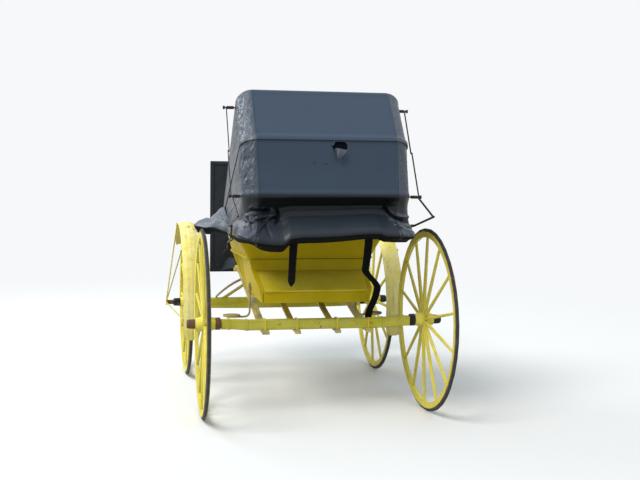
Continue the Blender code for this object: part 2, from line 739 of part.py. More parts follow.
hollow = extruded([(rear_inside, BODY_BOTTOM + WALL), (rear_inside, BOOT_LIP_HEIGHT + lip_rise - LEDGE_DEPTH),
                   (neck, neck_top), (BOOT_LID_HEAD_Y + WALL, neck_top), (BOOT_LID_HEAD_Y + WALL, SEAT_LEVEL - WALL),
                   (BODY_FRONT - WALL, SEAT_LEVEL - WALL), (BODY_FRONT - WALL, BODY_BOTTOM + WALL)],
                  BODY_HALF_BOTTOM - WALL)
mouth = extruded([(rear_inside + 0.001, BODY_BOTTOM + WALL * 3), (rear_inside + 0.001, BOOT_LIP_HEIGHT + 0.10),
                  (neck - 0.001, BOOT_LID_HEAD_Z + 0.10), (neck - 0.001, BODY_BOTTOM + WALL * 3)],
                 BODY_HALF_BOTTOM - LID_INSET - LID_LEDGE)
lip_steepness = 2 * (LIP_CHAMFER + lip_rise) / LIP_CHAMFER
rebate = extruded([(BODY_REAR - 0.02, BOOT_LIP_HEIGHT - LIP_CHAMFER - 0.02 * lip_steepness),
                   (BODY_REAR, BOOT_LIP_HEIGHT - LIP_CHAMFER),
                   (BODY_REAR + LIP_CHAMFER / 2, BOOT_LIP_HEIGHT + lip_rise),
                   (BOOT_LID_HEAD_Y, BOOT_LID_HEAD_Z), (BOOT_LID_HEAD_Y, BOOT_LID_HEAD_Z + 0.06),
                   (BODY_REAR - 0.02, BOOT_LIP_HEIGHT + 0.10)], BODY_HALF_BOTTOM - LID_INSET + LID_SIDE_SPACE)
shell = taper(cut(shell, hollow, mouth, rebate))

pillars = []
for sign in (-1, 1):
    rings = []
    for i in range(7):
        z = blend(BODY_BOTTOM + 0.012, seat_z - 0.001, i / 6)
        inside = side_at(z) - WALL / 2
        skin = side_at(z) + PILLAR_PROUD
        out = skin + PILLAR_FLARE * i / 6
        rings.append([(sign * inside, PILLAR_START, z), (sign * skin, PILLAR_START, z),
                      (sign * blend(skin, out, 0.35), blend(PILLAR_START, BODY_FRONT, 0.6), z),
                      (sign * out, BODY_FRONT - 0.002, z), (sign * inside, BODY_FRONT - 0.002, z)])
    pillars.append(loft(rings))
floor_y1 = DASH_Y + DASH_RECESS - GAP
floor_top = FRONT_FLOOR_Z + FRONT_FLOOR_THICKNESS
toe_y, toe_z = floor_y1 - 0.16, floor_top + 0.10
front = extruded([(BODY_FRONT - 0.005, FRONT_FLOOR_Z), (floor_y1, FRONT_FLOOR_Z), (floor_y1, toe_z),
                  (floor_y1 - 0.014, toe_z), (toe_y, floor_top), (BODY_FRONT - 0.005, floor_top)],
                 FRONT_FLOOR_HALF)
sills = []
for sign in (-1, 1):
    x0, x1 = sorted((sign * (FRONT_FLOOR_HALF - WALL), sign * FRONT_FLOOR_HALF))
    sills.append(block(x0, x1, BODY_FRONT - 0.005, toe_y + 0.02, FRONT_FLOOR_Z + 0.002, floor_top + SILL_HEIGHT))
body = join(front, *sills)
for pillar in pillars:
    shell = join(shell, pillar)
place(join(shell, body), "body_box", "body")

# Boot lid, hinged at its upper edge

LID_CHAMFER = 0.002
LID_SPACE = 0.008           # riser to the lid's edge, so that the lid can swing
hinge_at = (Vector((0, BOOT_LID_HEAD_Y, BOOT_LID_HEAD_Z)) + lid_up * (GAP + LID_CHAMFER)
            - lid_way * (LID_SPACE + LID_CHAMFER))
lid_point = bpy.data.objects.new("lid_hinge_point", None)
lid_point.location = hinge_at
lid_point.parent = root
parts.objects.link(lid_point)


def lid_coords(along, above):
    """Point of the lid's section: distance down the slope and height over it."""
    p = Vector((0, BOOT_LID_HEAD_Y, BOOT_LID_HEAD_Z)) - lid_way * along + lid_up * (above + GAP) - hinge_at
    return p.y, p.z


length = lid_run.length
edge, nose = LID_SPACE + LID_CHAMFER, length + LID_OVERHANG
lid = extruded([lid_coords(LID_SPACE, LID_CHAMFER), lid_coords(LID_SPACE, LID_THICKNESS - LID_CHAMFER),
                lid_coords(edge, LID_THICKNESS), lid_coords(nose - 0.004, LID_THICKNESS),
                lid_coords(nose, LID_THICKNESS - 0.004), lid_coords(nose, LID_CHAMFER),
                lid_coords(nose - 0.004, 0.0), lid_coords(edge, 0.0)], BODY_HALF_BOTTOM - LID_INSET)
place(lid, "boot_lid", "body", lid_point)
for v in lid.data.vertices:
    z = v.co.z + hinge_at.z
    v.co.x *= side_at(z) / BODY_HALF_BOTTOM

# Seat panels: one flared sheet round the back and both sides, with its moulding and rail


SEAT_HALF_FRONT = BODY_HALF_TOP + PILLAR_FLARE      # flush with the pillars


def seat_half(y):
    """Half width of the seat's foot, which spreads towards the front."""
    return blend(SEAT_HALF_BOTTOM, SEAT_HALF_FRONT, (y - SEAT_REAR_BOTTOM) / (BODY_FRONT - SEAT_REAR_BOTTOM))


def seat_path():
    """Plan of the seat from the left front corner round the back, with outward directions."""
    y0, y1, r = SEAT_REAR_BOTTOM, BODY_FRONT + 0.004, SEAT_CORNER
    w, steps = seat_half(y0 + r), 4
    half = [((w, y1), (1, 0)), ((w, y0 + r), (1, 0))]
    half[0] = ((seat_half(y1), y1), (1, 0))
    for i in range(1, steps):
        a = math.pi / 2 * i / steps
        half.append(((w - r + r * math.cos(a), y0 + r - r * math.sin(a)), (math.cos(a), -math.sin(a))))
    half.append(((w - r, y0), (0, -1)))
    return [((-x, y), (-nx, ny)) for (x, y), (nx, ny) in half] + half[::-1]


z0 = SEAT_LEVEL + GAP
t = SEAT_PANEL_THICKNESS
h = SEAT_PANEL_HEIGHT


def seat_section(flare, proud):
    """Section of a panel: its moulding at the foot, the straight flare and the rail."""
    m = MOULDING * proud
    return [(0, z0), (m, z0), (m + 0.003 * proud, z0 + MOULDING_HEIGHT / 2), (m, z0 + MOULDING_HEIGHT),
            (0.004 * proud, z0 + MOULDING_HEIGHT + 0.003), (flare * 0.53, z0 + h * 0.55),
            (flare - 0.004, z0 + h - 0.014), (flare + 0.004, z0 + h - 0.010), (flare + 0.004, z0 + h),
            (flare - t - 0.002, z0 + h), (flare * 0.53 - t, z0 + h * 0.55), (-t, z0 + MOULDING_HEIGHT), (-t, z0)]


rings = []
for (x, y), (nx, ny) in seat_path():
    back = blend(1.0, 0.72, smooth(-ny))
    flare = SEAT_HALF_BOTTOM + SEAT_FLARE - seat_half(y) if abs(nx) > 0.5 else SEAT_FLARE
    rings.append([(x + nx * o, y + ny * o * back, z)
                  for o, z in seat_section(flare, blend(1.0, REAR_MOULDING, smooth(-ny)))])
place(loft(rings), "seat_panels", "body")

# Cushions


def cushion(half_x, half_y, thickness, columns, rows, tuft, steps_x, steps_y):
    """A stuffed pad with a crown, drawn-in sides and sewn tufts, lying in XY."""
    def height(a, b):
        edge = (1 - abs(a) ** 5) * (1 - abs(b) ** 5)
        crown = 0.58 + 0.42 * math.sqrt(max(0.0, edge))
        dip = 1.0
        for i in range(columns):
            for j in range(rows):
                ca = (2 * (i + 0.5) / columns - 1)
                cb = (2 * (j + 0.5) / rows - 1)
                d = math.hypot((a - ca) * half_x, (b - cb) * half_y)
                dip -= tuft * math.exp(-(d / 0.030) ** 2)
        return crown * dip

    def ring_point(a, b, v):
        pull = 1 - 0.030 * (1 - abs(2 * v - 1)) * 1.0
        return a * half_x * pull, b * half_y * pull

    bm = bmesh.new()
    top = {}
    for i in range(steps_x + 1):
        for j in range(steps_y + 1):
            a = math.sin(math.pi / 2 * (2 * i / steps_x - 1)) * 0.35 + (2 * i / steps_x - 1) * 0.65
            b = math.sin(math.pi / 2 * (2 * j / steps_y - 1)) * 0.35 + (2 * j / steps_y - 1) * 0.65
            top[i, j] = bm.verts.new((a * half_x, b * half_y, thickness * height(a, b)))
    for i in range(steps_x):
        for j in range(steps_y):
            bm.faces.new((top[i, j], top[i + 1, j], top[i + 1, j + 1], top[i, j + 1]))
    rim = [(i, 0) for i in range(steps_x)] + [(steps_x, j) for j in range(steps_y)]
    rim += [(i, steps_y) for i in range(steps_x, 0, -1)] + [(0, j) for j in range(steps_y, 0, -1)]
    above = [top[k] for k in rim]
    for z, pull in ((thickness * 0.32, 0.975), (0.0, 0.985)):
        below = [bm.verts.new((top[k].co.x * pull, top[k].co.y * pull, z)) for k in rim]
        for n in range(len(rim)):
            q = (n + 1) % len(rim)
            bm.faces.new((above[q], above[n], below[n], below[q]))
        above = below
    bm.faces.new(list(reversed(above)))
    return from_bmesh(bm)


lean = math.radians(BACKREST_LEAN)
rest_y = SEAT_REAR_BOTTOM + SEAT_PANEL_THICKNESS + GAP
cushion_rear = rest_y + BACKREST_THICKNESS / math.cos(lean) + GAP
cushion_front = BODY_FRONT - CUSHION_SETBACK
pad = cushion(CUSHION_HALF, (cushion_front - cushion_rear) / 2, CUSHION_THICKNESS, 4, 2, 0.16, 16, 8)
pad.location = (0, (cushion_front + cushion_rear) / 2, SEAT_LEVEL + GAP)
place(pad, "seat_cushion", "leather", smooth=60)

back = cushion(BACKREST_HALF, BACKREST_HEIGHT / 2, BACKREST_THICKNESS, 4, 2, 0.16, 16, 6)
up = Vector((0, -math.sin(lean), math.cos(lean)))
facing = Vector((0, math.cos(lean), math.sin(lean)))
axes = Matrix((Vector((-1, 0, 0)), up, facing)).transposed().to_4x4()
foot = Vector((0, rest_y, SEAT_LEVEL + GAP)) + up * BACKREST_HEIGHT / 2
back.data.transform(Matrix.Translation(foot) @ axes)
place(back, "seat_back", "leather", smooth=60)

# Dash: a tall leather-covered panel with a stitched border, and wings at its foot

panel = block(-DASH_HALF, DASH_HALF, DASH_Y, DASH_Y + DASH_THICKNESS, DASH_BOTTOM, DASH_TOP, 0.004)
panel = baked(panel)
for y0, y1 in ((DASH_Y - 0.01, DASH_Y + DASH_RECESS),
               (DASH_Y + DASH_THICKNESS - DASH_RECESS, DASH_Y + DASH_THICKNESS + 0.01)):
    panel = cut(panel, block(-DASH_HALF + DASH_BORDER, DASH_HALF - DASH_BORDER, y0, y1,
                             DASH_BOTTOM + DASH_BORDER, DASH_TOP - DASH_BORDER))
wings = []
for sign in (-1, 1):
    rows = []
    for i in range(7):
        s = i / 6
        y = DASH_Y + 0.006 - WING_LENGTH * s
        inner_x = FRONT_FLOOR_HALF + 0.012
        outer_x = blend(DASH_HALF - 0.09, inner_x + 0.030, smooth(s))
        z_in = FRONT_FLOOR_Z - 0.030 + 0.040 * s
        z_mid = z_in + 0.018 + 0.024 * math.sin(math.pi * s)
        z_out = DASH_BOTTOM + 0.012 + 0.055 * s
        rows.append([(sign * x, y, z) for x, z in ((inner_x, z_in), (blend(inner_x, outer_x, 0.35), z_mid),
                                                  (blend(inner_x, outer_x, 0.75), z_mid - 0.006),
                                                  (outer_x, z_out))])
    wings.append(sheet(rows, 0.005, 0.0))
place(join(panel, *wings), "dash", "leather")

for side, sign in (("left", -1), ("right", 1)):
    ring = wire([(sign * RING_X + x, DASH_Y - 0.030, RING_Z + z) for x, z in arc((0, 0), RING_RADIUS, 0, 337.5, 15)],
                RING_WIRE, 1, cyclic=True)
    eye = RING_Z + RING_RADIUS
    bend = [(DASH_Y - 0.030, eye - 0.004), (DASH_Y - 0.030, eye + RING_DROP - 0.014),
            (DASH_Y - 0.022, eye + RING_DROP - 0.004), (DASH_Y - 0.010, eye + RING_DROP)]
    post = wire([(sign * RING_X, y, z) for y, z in bend], RING_WIRE, 1)
    foot = rod((sign * RING_X, DASH_Y - 0.012, eye + RING_DROP),
               (sign * RING_X, DASH_Y + DASH_RECESS - GAP, eye + RING_DROP),
               RING_WIRE * 2.2, 8)
    place(join(ring, post, foot), "lamp_ring_" + side, "iron")

# Steps: an oval tread on a bent iron from the box's side

for side, sign in (("left", -1), ("right", 1)):
    top_z = BODY_BOTTOM + 0.045
    wall_x = side_at(top_z) + GAP
    x_out = STEP_REACH
    drop = STEP_LEVEL - 0.016
    path = [(sign * (side_at(top_z + 0.02) + GAP + STEP_BAR), STEP_Y + 0.03, top_z + 0.02), (sign * (wall_x + STEP_BAR), STEP_Y + 0.025, BODY_BOTTOM),
            (sign * (wall_x + STEP_BAR + 0.002), STEP_Y + 0.015, blend(BODY_BOTTOM, drop, 0.6))]
    for i in range(5):
        a = math.radians(90 * i / 4)
        path.append((sign * (wall_x + STEP_BAR + 0.004 + 0.035 * (1 - math.cos(a))), STEP_Y,
                     drop + 0.035 * (1 - math.sin(a))))
    path.append((sign * (x_out + 0.03), STEP_Y, drop))
    bar = wire(path, STEP_BAR, 1)
    tread = rod((0, 0, 0), (0, 0, 0.012), 1.0, 20)
    tread.data.transform(Matrix.Diagonal((STEP_PAD_HALF_X, STEP_PAD_HALF_Y, 1, 1)))
    tread.data.transform(Matrix.Translation((sign * x_out, STEP_Y, STEP_LEVEL - 0.012)))
    flange = block(*sorted((sign * wall_x, sign * (wall_x + 0.006))), STEP_Y + 0.005, STEP_Y + 0.055,
                   top_z - 0.018, top_z + 0.032)
    for v in flange.data.vertices:
        v.co.x = sign * (side_at(v.co.z) + GAP + (0.006 if abs(v.co.x) > wall_x + 0.003 else 0.0))
    place(join(bar, tread, flange), "step_" + side, "gear")

# Hood bows: three hoops on one pivot line beside the front of the seat


def spoke_point(angle, reach, x=0.0):
    """Point at a distance from the pivot line, at an angle above straight back."""
    a = math.radians(angle)
    return Vector((x, PIVOT_Y - reach * math.cos(a), PIVOT_Z + reach * math.sin(a)))


bow_points = {}
hood_point = bpy.data.objects.new("hood_pivot_point", None)
hood_point.location = PIVOT
hood_point.parent = root
parts.objects.link(hood_point)
from_pivot = Matrix.Translation(-PIVOT)
for layer, name in enumerate(("rear", "middle", "front")):
    angle, reach = BOWS[name]
    outline = [(-HOOD_HALF, BOW_IRON_LENGTH * 0.92)]
    corner = arc((HOOD_HALF - BOW_CORNER, reach - BOW_CORNER), BOW_CORNER, 0, 90, BOW_CORNER_STEPS)
    outline += [(-x, r) for x, r in corner]
    outline += [(x, r) for x, r in reversed(corner)]
    outline += [(HOOD_HALF, BOW_IRON_LENGTH * 0.92)]
    hoop = wire([spoke_point(angle, r, x) for x, r in outline], BOW_RADIUS, 1)
    pieces = [hoop]
    for sign in (-1, 1):
        x = HOOD_HALF + (layer - 1) * BOW_IRON_PITCH
        neck = math.degrees(math.asin(BOW_IRON_WIDTH / 2 / EYE_RADIUS))
        flat = arc((0, 0), EYE_RADIUS, 180 + neck, 540 - neck, 10)
        flat += [(-BOW_IRON_LENGTH, BOW_IRON_WIDTH / 2), (-BOW_IRON_LENGTH, -BOW_IRON_WIDTH / 2)]
        strip = extruded(flat, BOW_IRON_THICKNESS / 2)
        strip.data.transform(Matrix.Translation(PIVOT + Vector((sign * x, 0, 0)))
                             @ Matrix.Rotation(-math.radians(angle), 4, "X"))
        pieces.append(strip)
        if name != "middle":
            arm = FRONT_KNOB_ARM if name == "front" else REAR_KNOB_ARM
            at = spoke_point(angle, arm)
            corner_x = HOOD_HALF if arm < reach - BOW_CORNER else HOOD_HALF - BOW_CORNER + math.sqrt(
                max(0.0, BOW_CORNER ** 2 - (arm - reach + BOW_CORNER) ** 2))
            stem_end = IRON_X + IRON_STEP * 1.5 + 0.002
            pieces.append(rod((sign * (corner_x - 0.004), at.y, at.z), (sign * stem_end, at.y, at.z), 0.0045, 8))
            pieces.append(rod((sign * (stem_end - 0.002), at.y, at.z), (sign * (stem_end + 0.010), at.y, at.z),
                              KNOB_RADIUS, 8))
            pieces.append(rod((sign * (HOOD_HALF + 0.024), at.y, at.z),
                              (sign * (IRON_X - IRON_THICKNESS / 2 - GAP), at.y, at.z), KNOB_RADIUS * 0.9, 8))
    bow = join(*pieces)
    hole = rod((-HOOD_HALF - 0.05, PIVOT_Y, PIVOT_Z), (HOOD_HALF + 0.05, PIVOT_Y, PIVOT_Z),
               PIN_RADIUS + ARM_CLEARANCE, 12)
    bow = cut(bow, hole)
    bow.data.transform(from_pivot)
    place(bow, "hood_bow_" + name, "iron", hood_point)

# Pivot irons on the seat's rails, each with the pin for the bows and the prop for the lower links

rail_top = SEAT_LEVEL + GAP + SEAT_PANEL_HEIGHT
for side, sign in (("left", -1), ("right", 1)):
    x_in = HOOD_HALF - BOW_IRON_PITCH - BOW_IRON_THICKNESS / 2 - 0.0006
    rail_x = SEAT_HALF_BOTTOM + SEAT_FLARE
    tab = block(*sorted((sign * (x_in - 0.014), sign * x_in)), PIVOT_Y - 0.040, PIVOT_Y + 0.020,
                rail_top + GAP, PIVOT_Z + 0.018, 0.002)
    pin = rod((sign * (x_in - 0.006), PIVOT_Y, PIVOT_Z), (sign * (HOOD_HALF + 0.0125), PIVOT_Y, PIVOT_Z),
              PIN_RADIUS, 12)
    nut = rod((sign * (HOOD_HALF + 0.0105), PIVOT_Y, PIVOT_Z), (sign * (HOOD_HALF + 0.0165), PIVOT_Y, PIVOT_Z),
              PIN_RADIUS * 1.7, 12)
    prop_x = IRON_X - IRON_THICKNESS / 2 - 0.0065
    run = [(sign * (rail_x - 0.006), PIVOT_Y - 0.020, rail_top + GAP + 0.005),
           (sign * (rail_x - 0.006), SEAT_REAR_BOTTOM + 0.12, rail_top + GAP + 0.005),
           (sign * (rail_x + 0.012), SEAT_REAR_BOTTOM + 0.06, rail_top + GAP + 0.005),
           (sign * (rail_x + 0.030), SEAT_REAR_BOTTOM + 0.01, PROP_LOW),
           (sign * (prop_x - 0.004), SEAT_REAR_BOTTOM - 0.16, PROP_LOW),
           (sign * prop_x, PROP_Y + 0.05, blend(PROP_LOW, PROP_Z, 0.35)),
           (sign * prop_x, PROP_Y, PROP_Z)]
    rail = wire(run, 0.005, 1)
    stem = rod((sign * (IRON_X - IRON_THICKNESS / 2 - 0.012), PROP_Y, PROP_Z),
               (sign * (IRON_X + IRON_STEP - IRON_THICKNESS / 2 - GAP), PROP_Y, PROP_Z), 0.0085, 12)
    bolt = rod((sign * (IRON_X - 0.004), PROP_Y, PROP_Z),
               (sign * (IRON_X + IRON_STEP + IRON_THICKNESS / 2 + 0.004), PROP_Y, PROP_Z), 0.0045, 10)
    place(join(baked(tab), pin, nut, rail, stem, bolt), "hood_pivot_" + side, "iron")

# Joint irons: a pair from knob to knob, and a broken pair from the rear knob to the prop


def link_bar(start, end, x, first_hole, second_hole):
    """Flat bar with rounded eyes between two points of the YZ plane."""
    run = Vector((end[0] - start[0], end[1] - start[1]))
    length = run.length
    w = IRON_WIDTH / 2
    outline = arc((0, 0), w, 90, 270, 4) + arc((length, 0), w, -90, 90, 3)
    bar = extruded(outline, IRON_THICKNESS / 2)
    holes = []
    for at, wanted in ((0.0, first_hole), (length, second_hole)):
        if wanted:
            holes.append(rod((-0.02, at, 0), (0.02, at, 0), 0.0045 + ARM_CLEARANCE, 8))
    if holes:
        bar = cut(bar, *holes)
    angle = math.atan2(run.y, run.x)
    bar.data.transform(Matrix.Rotation(angle, 4, "X"))
    bar.data.transform(Matrix.Translation((x, start[0], start[1])))
    return bar


front_knob = spoke_point(BOWS["front"][0], FRONT_KNOB_ARM)
rear_knob = spoke_point(BOWS["rear"][0], REAR_KNOB_ARM)
knuckle = (front_knob + rear_knob) / 2
for side, sign in (("left", -1), ("right", 1)):
    inner, outer = sign * IRON_X, sign * (IRON_X + IRON_STEP)
    pieces = (
        ("upper_iron_front_", (front_knob.y, front_knob.z), (knuckle.y, knuckle.z), inner, True, False),
        ("upper_iron_rear_", (rear_knob.y, rear_knob.z), (knuckle.y, knuckle.z), outer, True, False),
        ("lower_iron_rear_", (rear_knob.y, rear_knob.z), (ELBOW_Y, ELBOW_Z), inner, True, False),
        ("lower_iron_front_", (PROP_Y, PROP_Z), (ELBOW_Y, ELBOW_Z), outer, True, False),
    )
    for name, start, end, x, one, two in pieces:
        bar = link_bar(start, end, x, one, two)
        pivot = Vector((0, start[0], start[1]))
        holder = bpy.data.objects.new(name + side + "_point", None)
        holder.location = pivot
        holder.parent = root
        parts.objects.link(holder)
        bar.data.transform(Matrix.Translation(-pivot))
        place(bar, name + side, "iron", holder)

# Leather of the hood, stretched over the bows, with holes where the knobs pass


def hood_outline(reach, steps_top=5, steps_leg=7):
    """Half outline over a bow: (x, distance from the pivot) from the middle to the leg's foot."""
    w = HOOD_HALF + BOW_RADIUS + BOW_COVER
    r = reach + BOW_RADIUS + BOW_COVER
    c = BOW_CORNER + BOW_RADIUS + BOW_COVER
    points = [(blend(0, w - c, i / steps_top), r) for i in range(steps_top)]
    points += list(reversed(arc((w - c, r - c), c, 0, 90, BOW_CORNER_STEPS)))
    foot = LEATHER_START
    points += [(w, blend(r - c, foot, (i + 1) / steps_leg)) for i in range(steps_leg)]
    return points


def full(points):
    """Both halves of an outline, from the left foot to the right foot."""
    return [(-x, r) for x, r in reversed(points)] + list(points[1:])


def stretched(first, second, steps, seam, overhang=0.0):
    """Leather between two bows, drawn in a little between them."""
    a0, r0 = BOWS[first]
    a1, r1 = BOWS[second]
    o0, o1 = full(hood_outline(r0)), full(hood_outline(r1))
    rows = []
    for i in range(steps + 1):
        t = i / steps
        sag = LEATHER_SAG * math.sin(math.pi * t)
        row = []
        for (x0, q0), (x1, q1) in zip(o0, o1):
            x, q = blend(x0, x1, t), blend(q0, q1, t)
            fade = smooth((q - 0.5) / 0.6)
            lift = sag * fade
            shift = {0: seam, steps: GAP}.get(i, 0.0)
            angle = blend(a0, a1, t) + math.degrees(shift / q)
            row.append(spoke_point(angle, q - lift, x * (1 - lift * 0.35)))
        rows.append(row)
    if overhang:
        rows.insert(0, [spoke_point(a0 + math.degrees(overhang / q), q, x) for x, q in o0])
    return sheet(rows, LEATHER, -1.0)


def knob_holes(obj, spots):
    cutters_here = [rod((sign * (HOOD_HALF - 0.1), at.y, at.z), (sign * (HOOD_HALF + 0.06), at.y, at.z), 0.0075, 10)
                    for at in spots for sign in (-1, 1)]
    return cut(obj, *cutters_here)


front_leather = stretched("front", "middle", 3, 0.0, BOW_RADIUS)
rear_leather = stretched("middle", "rear", 3, -GAP)
place(knob_holes(front_leather, [front_knob]), "hood_leather_upper", "leather", smooth=40)
place(knob_holes(rear_leather, [rear_knob]), "hood_leather_lower", "leather", smooth=40)


def apron():
    """Slack leather below the rear bow: tucked in, bulging, and flaring at the front corners."""
    angle, reach = BOWS["rear"]
    points = full(hood_outline(reach, steps_top=6, steps_leg=8))
    rows = []
    steps = 7
    w = HOOD_HALF + BOW_RADIUS + BOW_COVER
    for v in [0.0, 0.05] + [j / steps for j in range(1, steps + 1)]:
        free = max(0.0, (v - 1 / steps) / (1 - 1 / steps))
        row = []
        for i, (x, q) in enumerate(points):
            top = spoke_point(angle - math.degrees(GAP / q), q, x)
            side = abs(x) / w
            back = smooth((q - (reach - BOW_CORNER * 1.6)) / (BOW_CORNER * 1.6))
            corner = smooth((side - 0.70) / 0.30)
            normal = Vector((math.copysign(corner, x), -back, 0))
            normal = normal.normalized() if normal.length > 1e-6 else Vector((0, -1, 0))
            hem = APRON_HEM + (HEM_RISE * smooth((x + 0.10) / 0.33)
                               - HEM_SAG * math.exp(-((x - HEM_SAG_X) / 0.095) ** 2)) * back
            drop = max(0.012, top.z - hem)
            near = smooth((q - 0.30) / 0.35)
            under = max(0.0, v - 0.05) / 0.57        # the leather first passes the bow
            tuck = -APRON_TUCK * math.sin(math.pi * min(1.0, under)) * back * (1 - corner * 0.72)
            bulge = APRON_BULGE + CORNER_BULGE * corner * back
            bulge *= math.sin(math.pi * min(1.0, max(0.0, (v - 0.5) / 0.55)))
            pleat = 0.006 * math.sin(i * 2.1) * math.sin(math.pi * free) * corner * near
            curl = HEM_CURL * smooth((v - 0.84) / 0.16) * back
            foot = 1 - smooth((q - LEATHER_START) / 0.34)
            spread = 0.10 * smooth(free / 0.12) + 0.90 * smooth(free)
            flap = (LEFT_FLAP_FLARE if x < 0 else RIGHT_FLAP_FLARE) * foot * spread * corner
            lobe = LEFT_FLAP_RISE * foot * math.sin(math.pi * free) if x < 0 else 0.0
            out = tuck + (bulge * near) + pleat + flap - curl
            rise = 0.020 * foot * free + lobe
            p = top + normal * out + Vector((0, 0.1 * flap, -drop * v + rise))
            row.append(p)
        rows.append(row)
    return sheet(rows, LEATHER, -1.0)


apron_piece = place(knob_holes(apron(), [rear_knob]), "hood_apron", "leather", smooth=50)

# Front mudguards and their stays, carried on the ends of the front axle

GUARD_SIDE = -1.0           # the sheet thickens towards the wheel
guard_radius = FRONT_WHEEL_RADIUS + GUARD_SPACE + GUARD_THICKNESS
for side, sign in (("left", -1), ("right", 1)):
    rows = []
    steps = 22
    for i in range(steps + 1):
        angle = math.radians(blend(GUARD_FROM, GUARD_TO, i / steps))
        end = min(1.0, i / steps / 0.05, (1 - i / steps) / 0.05)
        width = GUARD_WIDTH / 2 * blend(0.72, 1.0, math.sqrt(max(0, end)))
        row = []
        for k in range(5):
            across = 2 * k / 4 - 1
            r = guard_radius + GUARD_CROWN * (1 - across * across)
            row.append((sign * (TRACK / 2 + across * width), r * math.cos(angle),
                        FRONT_WHEEL_RADIUS + r * math.sin(angle)))
        rows.append(row if sign > 0 else row[::-1])
    guard = sheet(rows, GUARD_THICKNESS, GUARD_SIDE)
    place(guard, "mudguard_" + side, "guard", steer, smooth=40)
    plate_x = TRACK / 2 + arm_out + GAP
    tip_x = TRACK / 2 + GUARD_WIDTH / 2 + GAP * 2 + STAY_RADIUS + GUARD_THICKNESS * 0.2
    hub = rod((sign * plate_x, 0, FRONT_WHEEL_RADIUS), (sign * (plate_x + STAY_PLATE), 0, FRONT_WHEEL_RADIUS), 0.022, 16)
    pieces = [hub]
    for degrees in STAY_ANGLES:
        a = math.radians(degrees)
        r = guard_radius + 0.004
        way = Vector((0, math.cos(a), math.sin(a)))
        start = Vector((sign * (plate_x + STAY_RADIUS + 0.0020), 0, FRONT_WHEEL_RADIUS)) + way * 0.004
        near = Vector((sign * tip_x, 0, FRONT_WHEEL_RADIUS)) + way * (r - 0.020)
        tip = Vector((sign * tip_x, 0, FRONT_WHEEL_RADIUS)) + way * (r + 0.004)
        pieces.append(wire([start, near, tip], STAY_RADIUS, 1))
    place(join(*pieces), "mudguard_stay_" + side, "gear", steer)

# Straps: one hangs free over the boot, one runs down to the rear axle


def ribbon(path, width, thickness, point=0.0):
    """A flat strap along a path in the YZ plane, with an optional pointed end."""
    rings = []
    for n, (x, y, z) in enumerate(path):
        before = Vector(path[max(0, n - 1)])
        after = Vector(path[min(len(path) - 1, n + 1)])
        way = (after - before).normalized()
        face = Vector((0, way.z, -way.y)).normalized() * thickness / 2
        across = Vector((1, 0, 0)) * width / 2
        if point and n == len(path) - 1:
            across *= 0.25
        c = Vector((x, y, z))
        rings.append([c - across - face, c + across - face, c + across + face, c - across + face])
    return loft(rings)


def hem_under(x, width):
    """Where a strap meets the apron's hem: the hem's place in plan and its lowest point over the width."""
    near = sorted((tuple(v.co) for v in apron_piece.data.vertices
                   if v.co.y < 0 and abs(v.co.x) < HOOD_HALF - BOW_CORNER), key=lambda co: co[0])
    columns = [[near[0]]]
    for co in near[1:]:
        if co[0] - columns[-1][-1][0] > 0.015:
            columns.append([])
        columns[-1].append(co)
    hem = [min(column, key=lambda co: co[2]) for column in columns]

    def hem_at(place):
        for (x0, y0, h0), (x1, y1, h1) in zip(hem, hem[1:]):
            if x0 <= place <= x1:
                share = (place - x0) / (x1 - x0)
                return blend(y0, y1, share), blend(h0, h1, share)
        return hem[-1][1:]

    spots = [x - width / 2, x + width / 2] + [h[0] for h in hem if abs(h[0] - x) < width / 2]
    return hem_at(x)[0], min(hem_at(spot)[1] for spot in spots) - GAP


strap_y, top_z = hem_under(LEFT_STRAP_X, STRAP_WIDTH)
hang = [(LEFT_STRAP_X, strap_y, top_z), (LEFT_STRAP_X - 0.003, strap_y + 0.002, top_z - 0.08),
        (LEFT_STRAP_X - 0.006, strap_y + 0.004, top_z - 0.16),
        (LEFT_STRAP_X - 0.010, strap_y + 0.004, top_z - LEFT_STRAP_LENGTH + 0.035),
        (LEFT_STRAP_X - 0.011, strap_y + 0.004, top_z - LEFT_STRAP_LENGTH)]
place(ribbon(hang, STRAP_WIDTH, STRAP_THICKNESS, 1.0), "strap_left", "leather")

strap_y, top_z = hem_under(RIGHT_STRAP_X, STRAP_WIDTH)
foot_z = REAR_BED_TOP + CLIP_THICKNESS + 3 * GAP + 0.001      # on the outer slat's clip
hang = []
for i in range(11):
    way = i / 10
    x = blend(RIGHT_STRAP_X, RIGHT_STRAP_FOOT_X, smooth((way - 0.38) / 0.25))
    x += RIGHT_STRAP_BULGE * math.sin(math.pi * min(1.0, max(0.0, (way - 0.40) / 0.50)))
    hang.append((x, blend(strap_y, RIGHT_STRAP_FOOT_Y, way ** 1.4), blend(top_z, foot_z, way)))
place(ribbon(hang, STRAP_WIDTH, STRAP_THICKNESS), "strap_right", "leather")
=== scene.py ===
# %% [markdown]
# # An old hooded buggy
# This notebook dresses a finished frame: the wheels, axles, box, bows and irons come from the packed
# model, and here they get their weathered paint, rust and wood.  The soft parts (hood, apron, cushions,
# straps) are made again as real leather, and the small fittings that a restorer would look for are added.

# %% Load the frame
import math

import bpy
import numpy as np
from mathutils import Matrix, Vector, noise


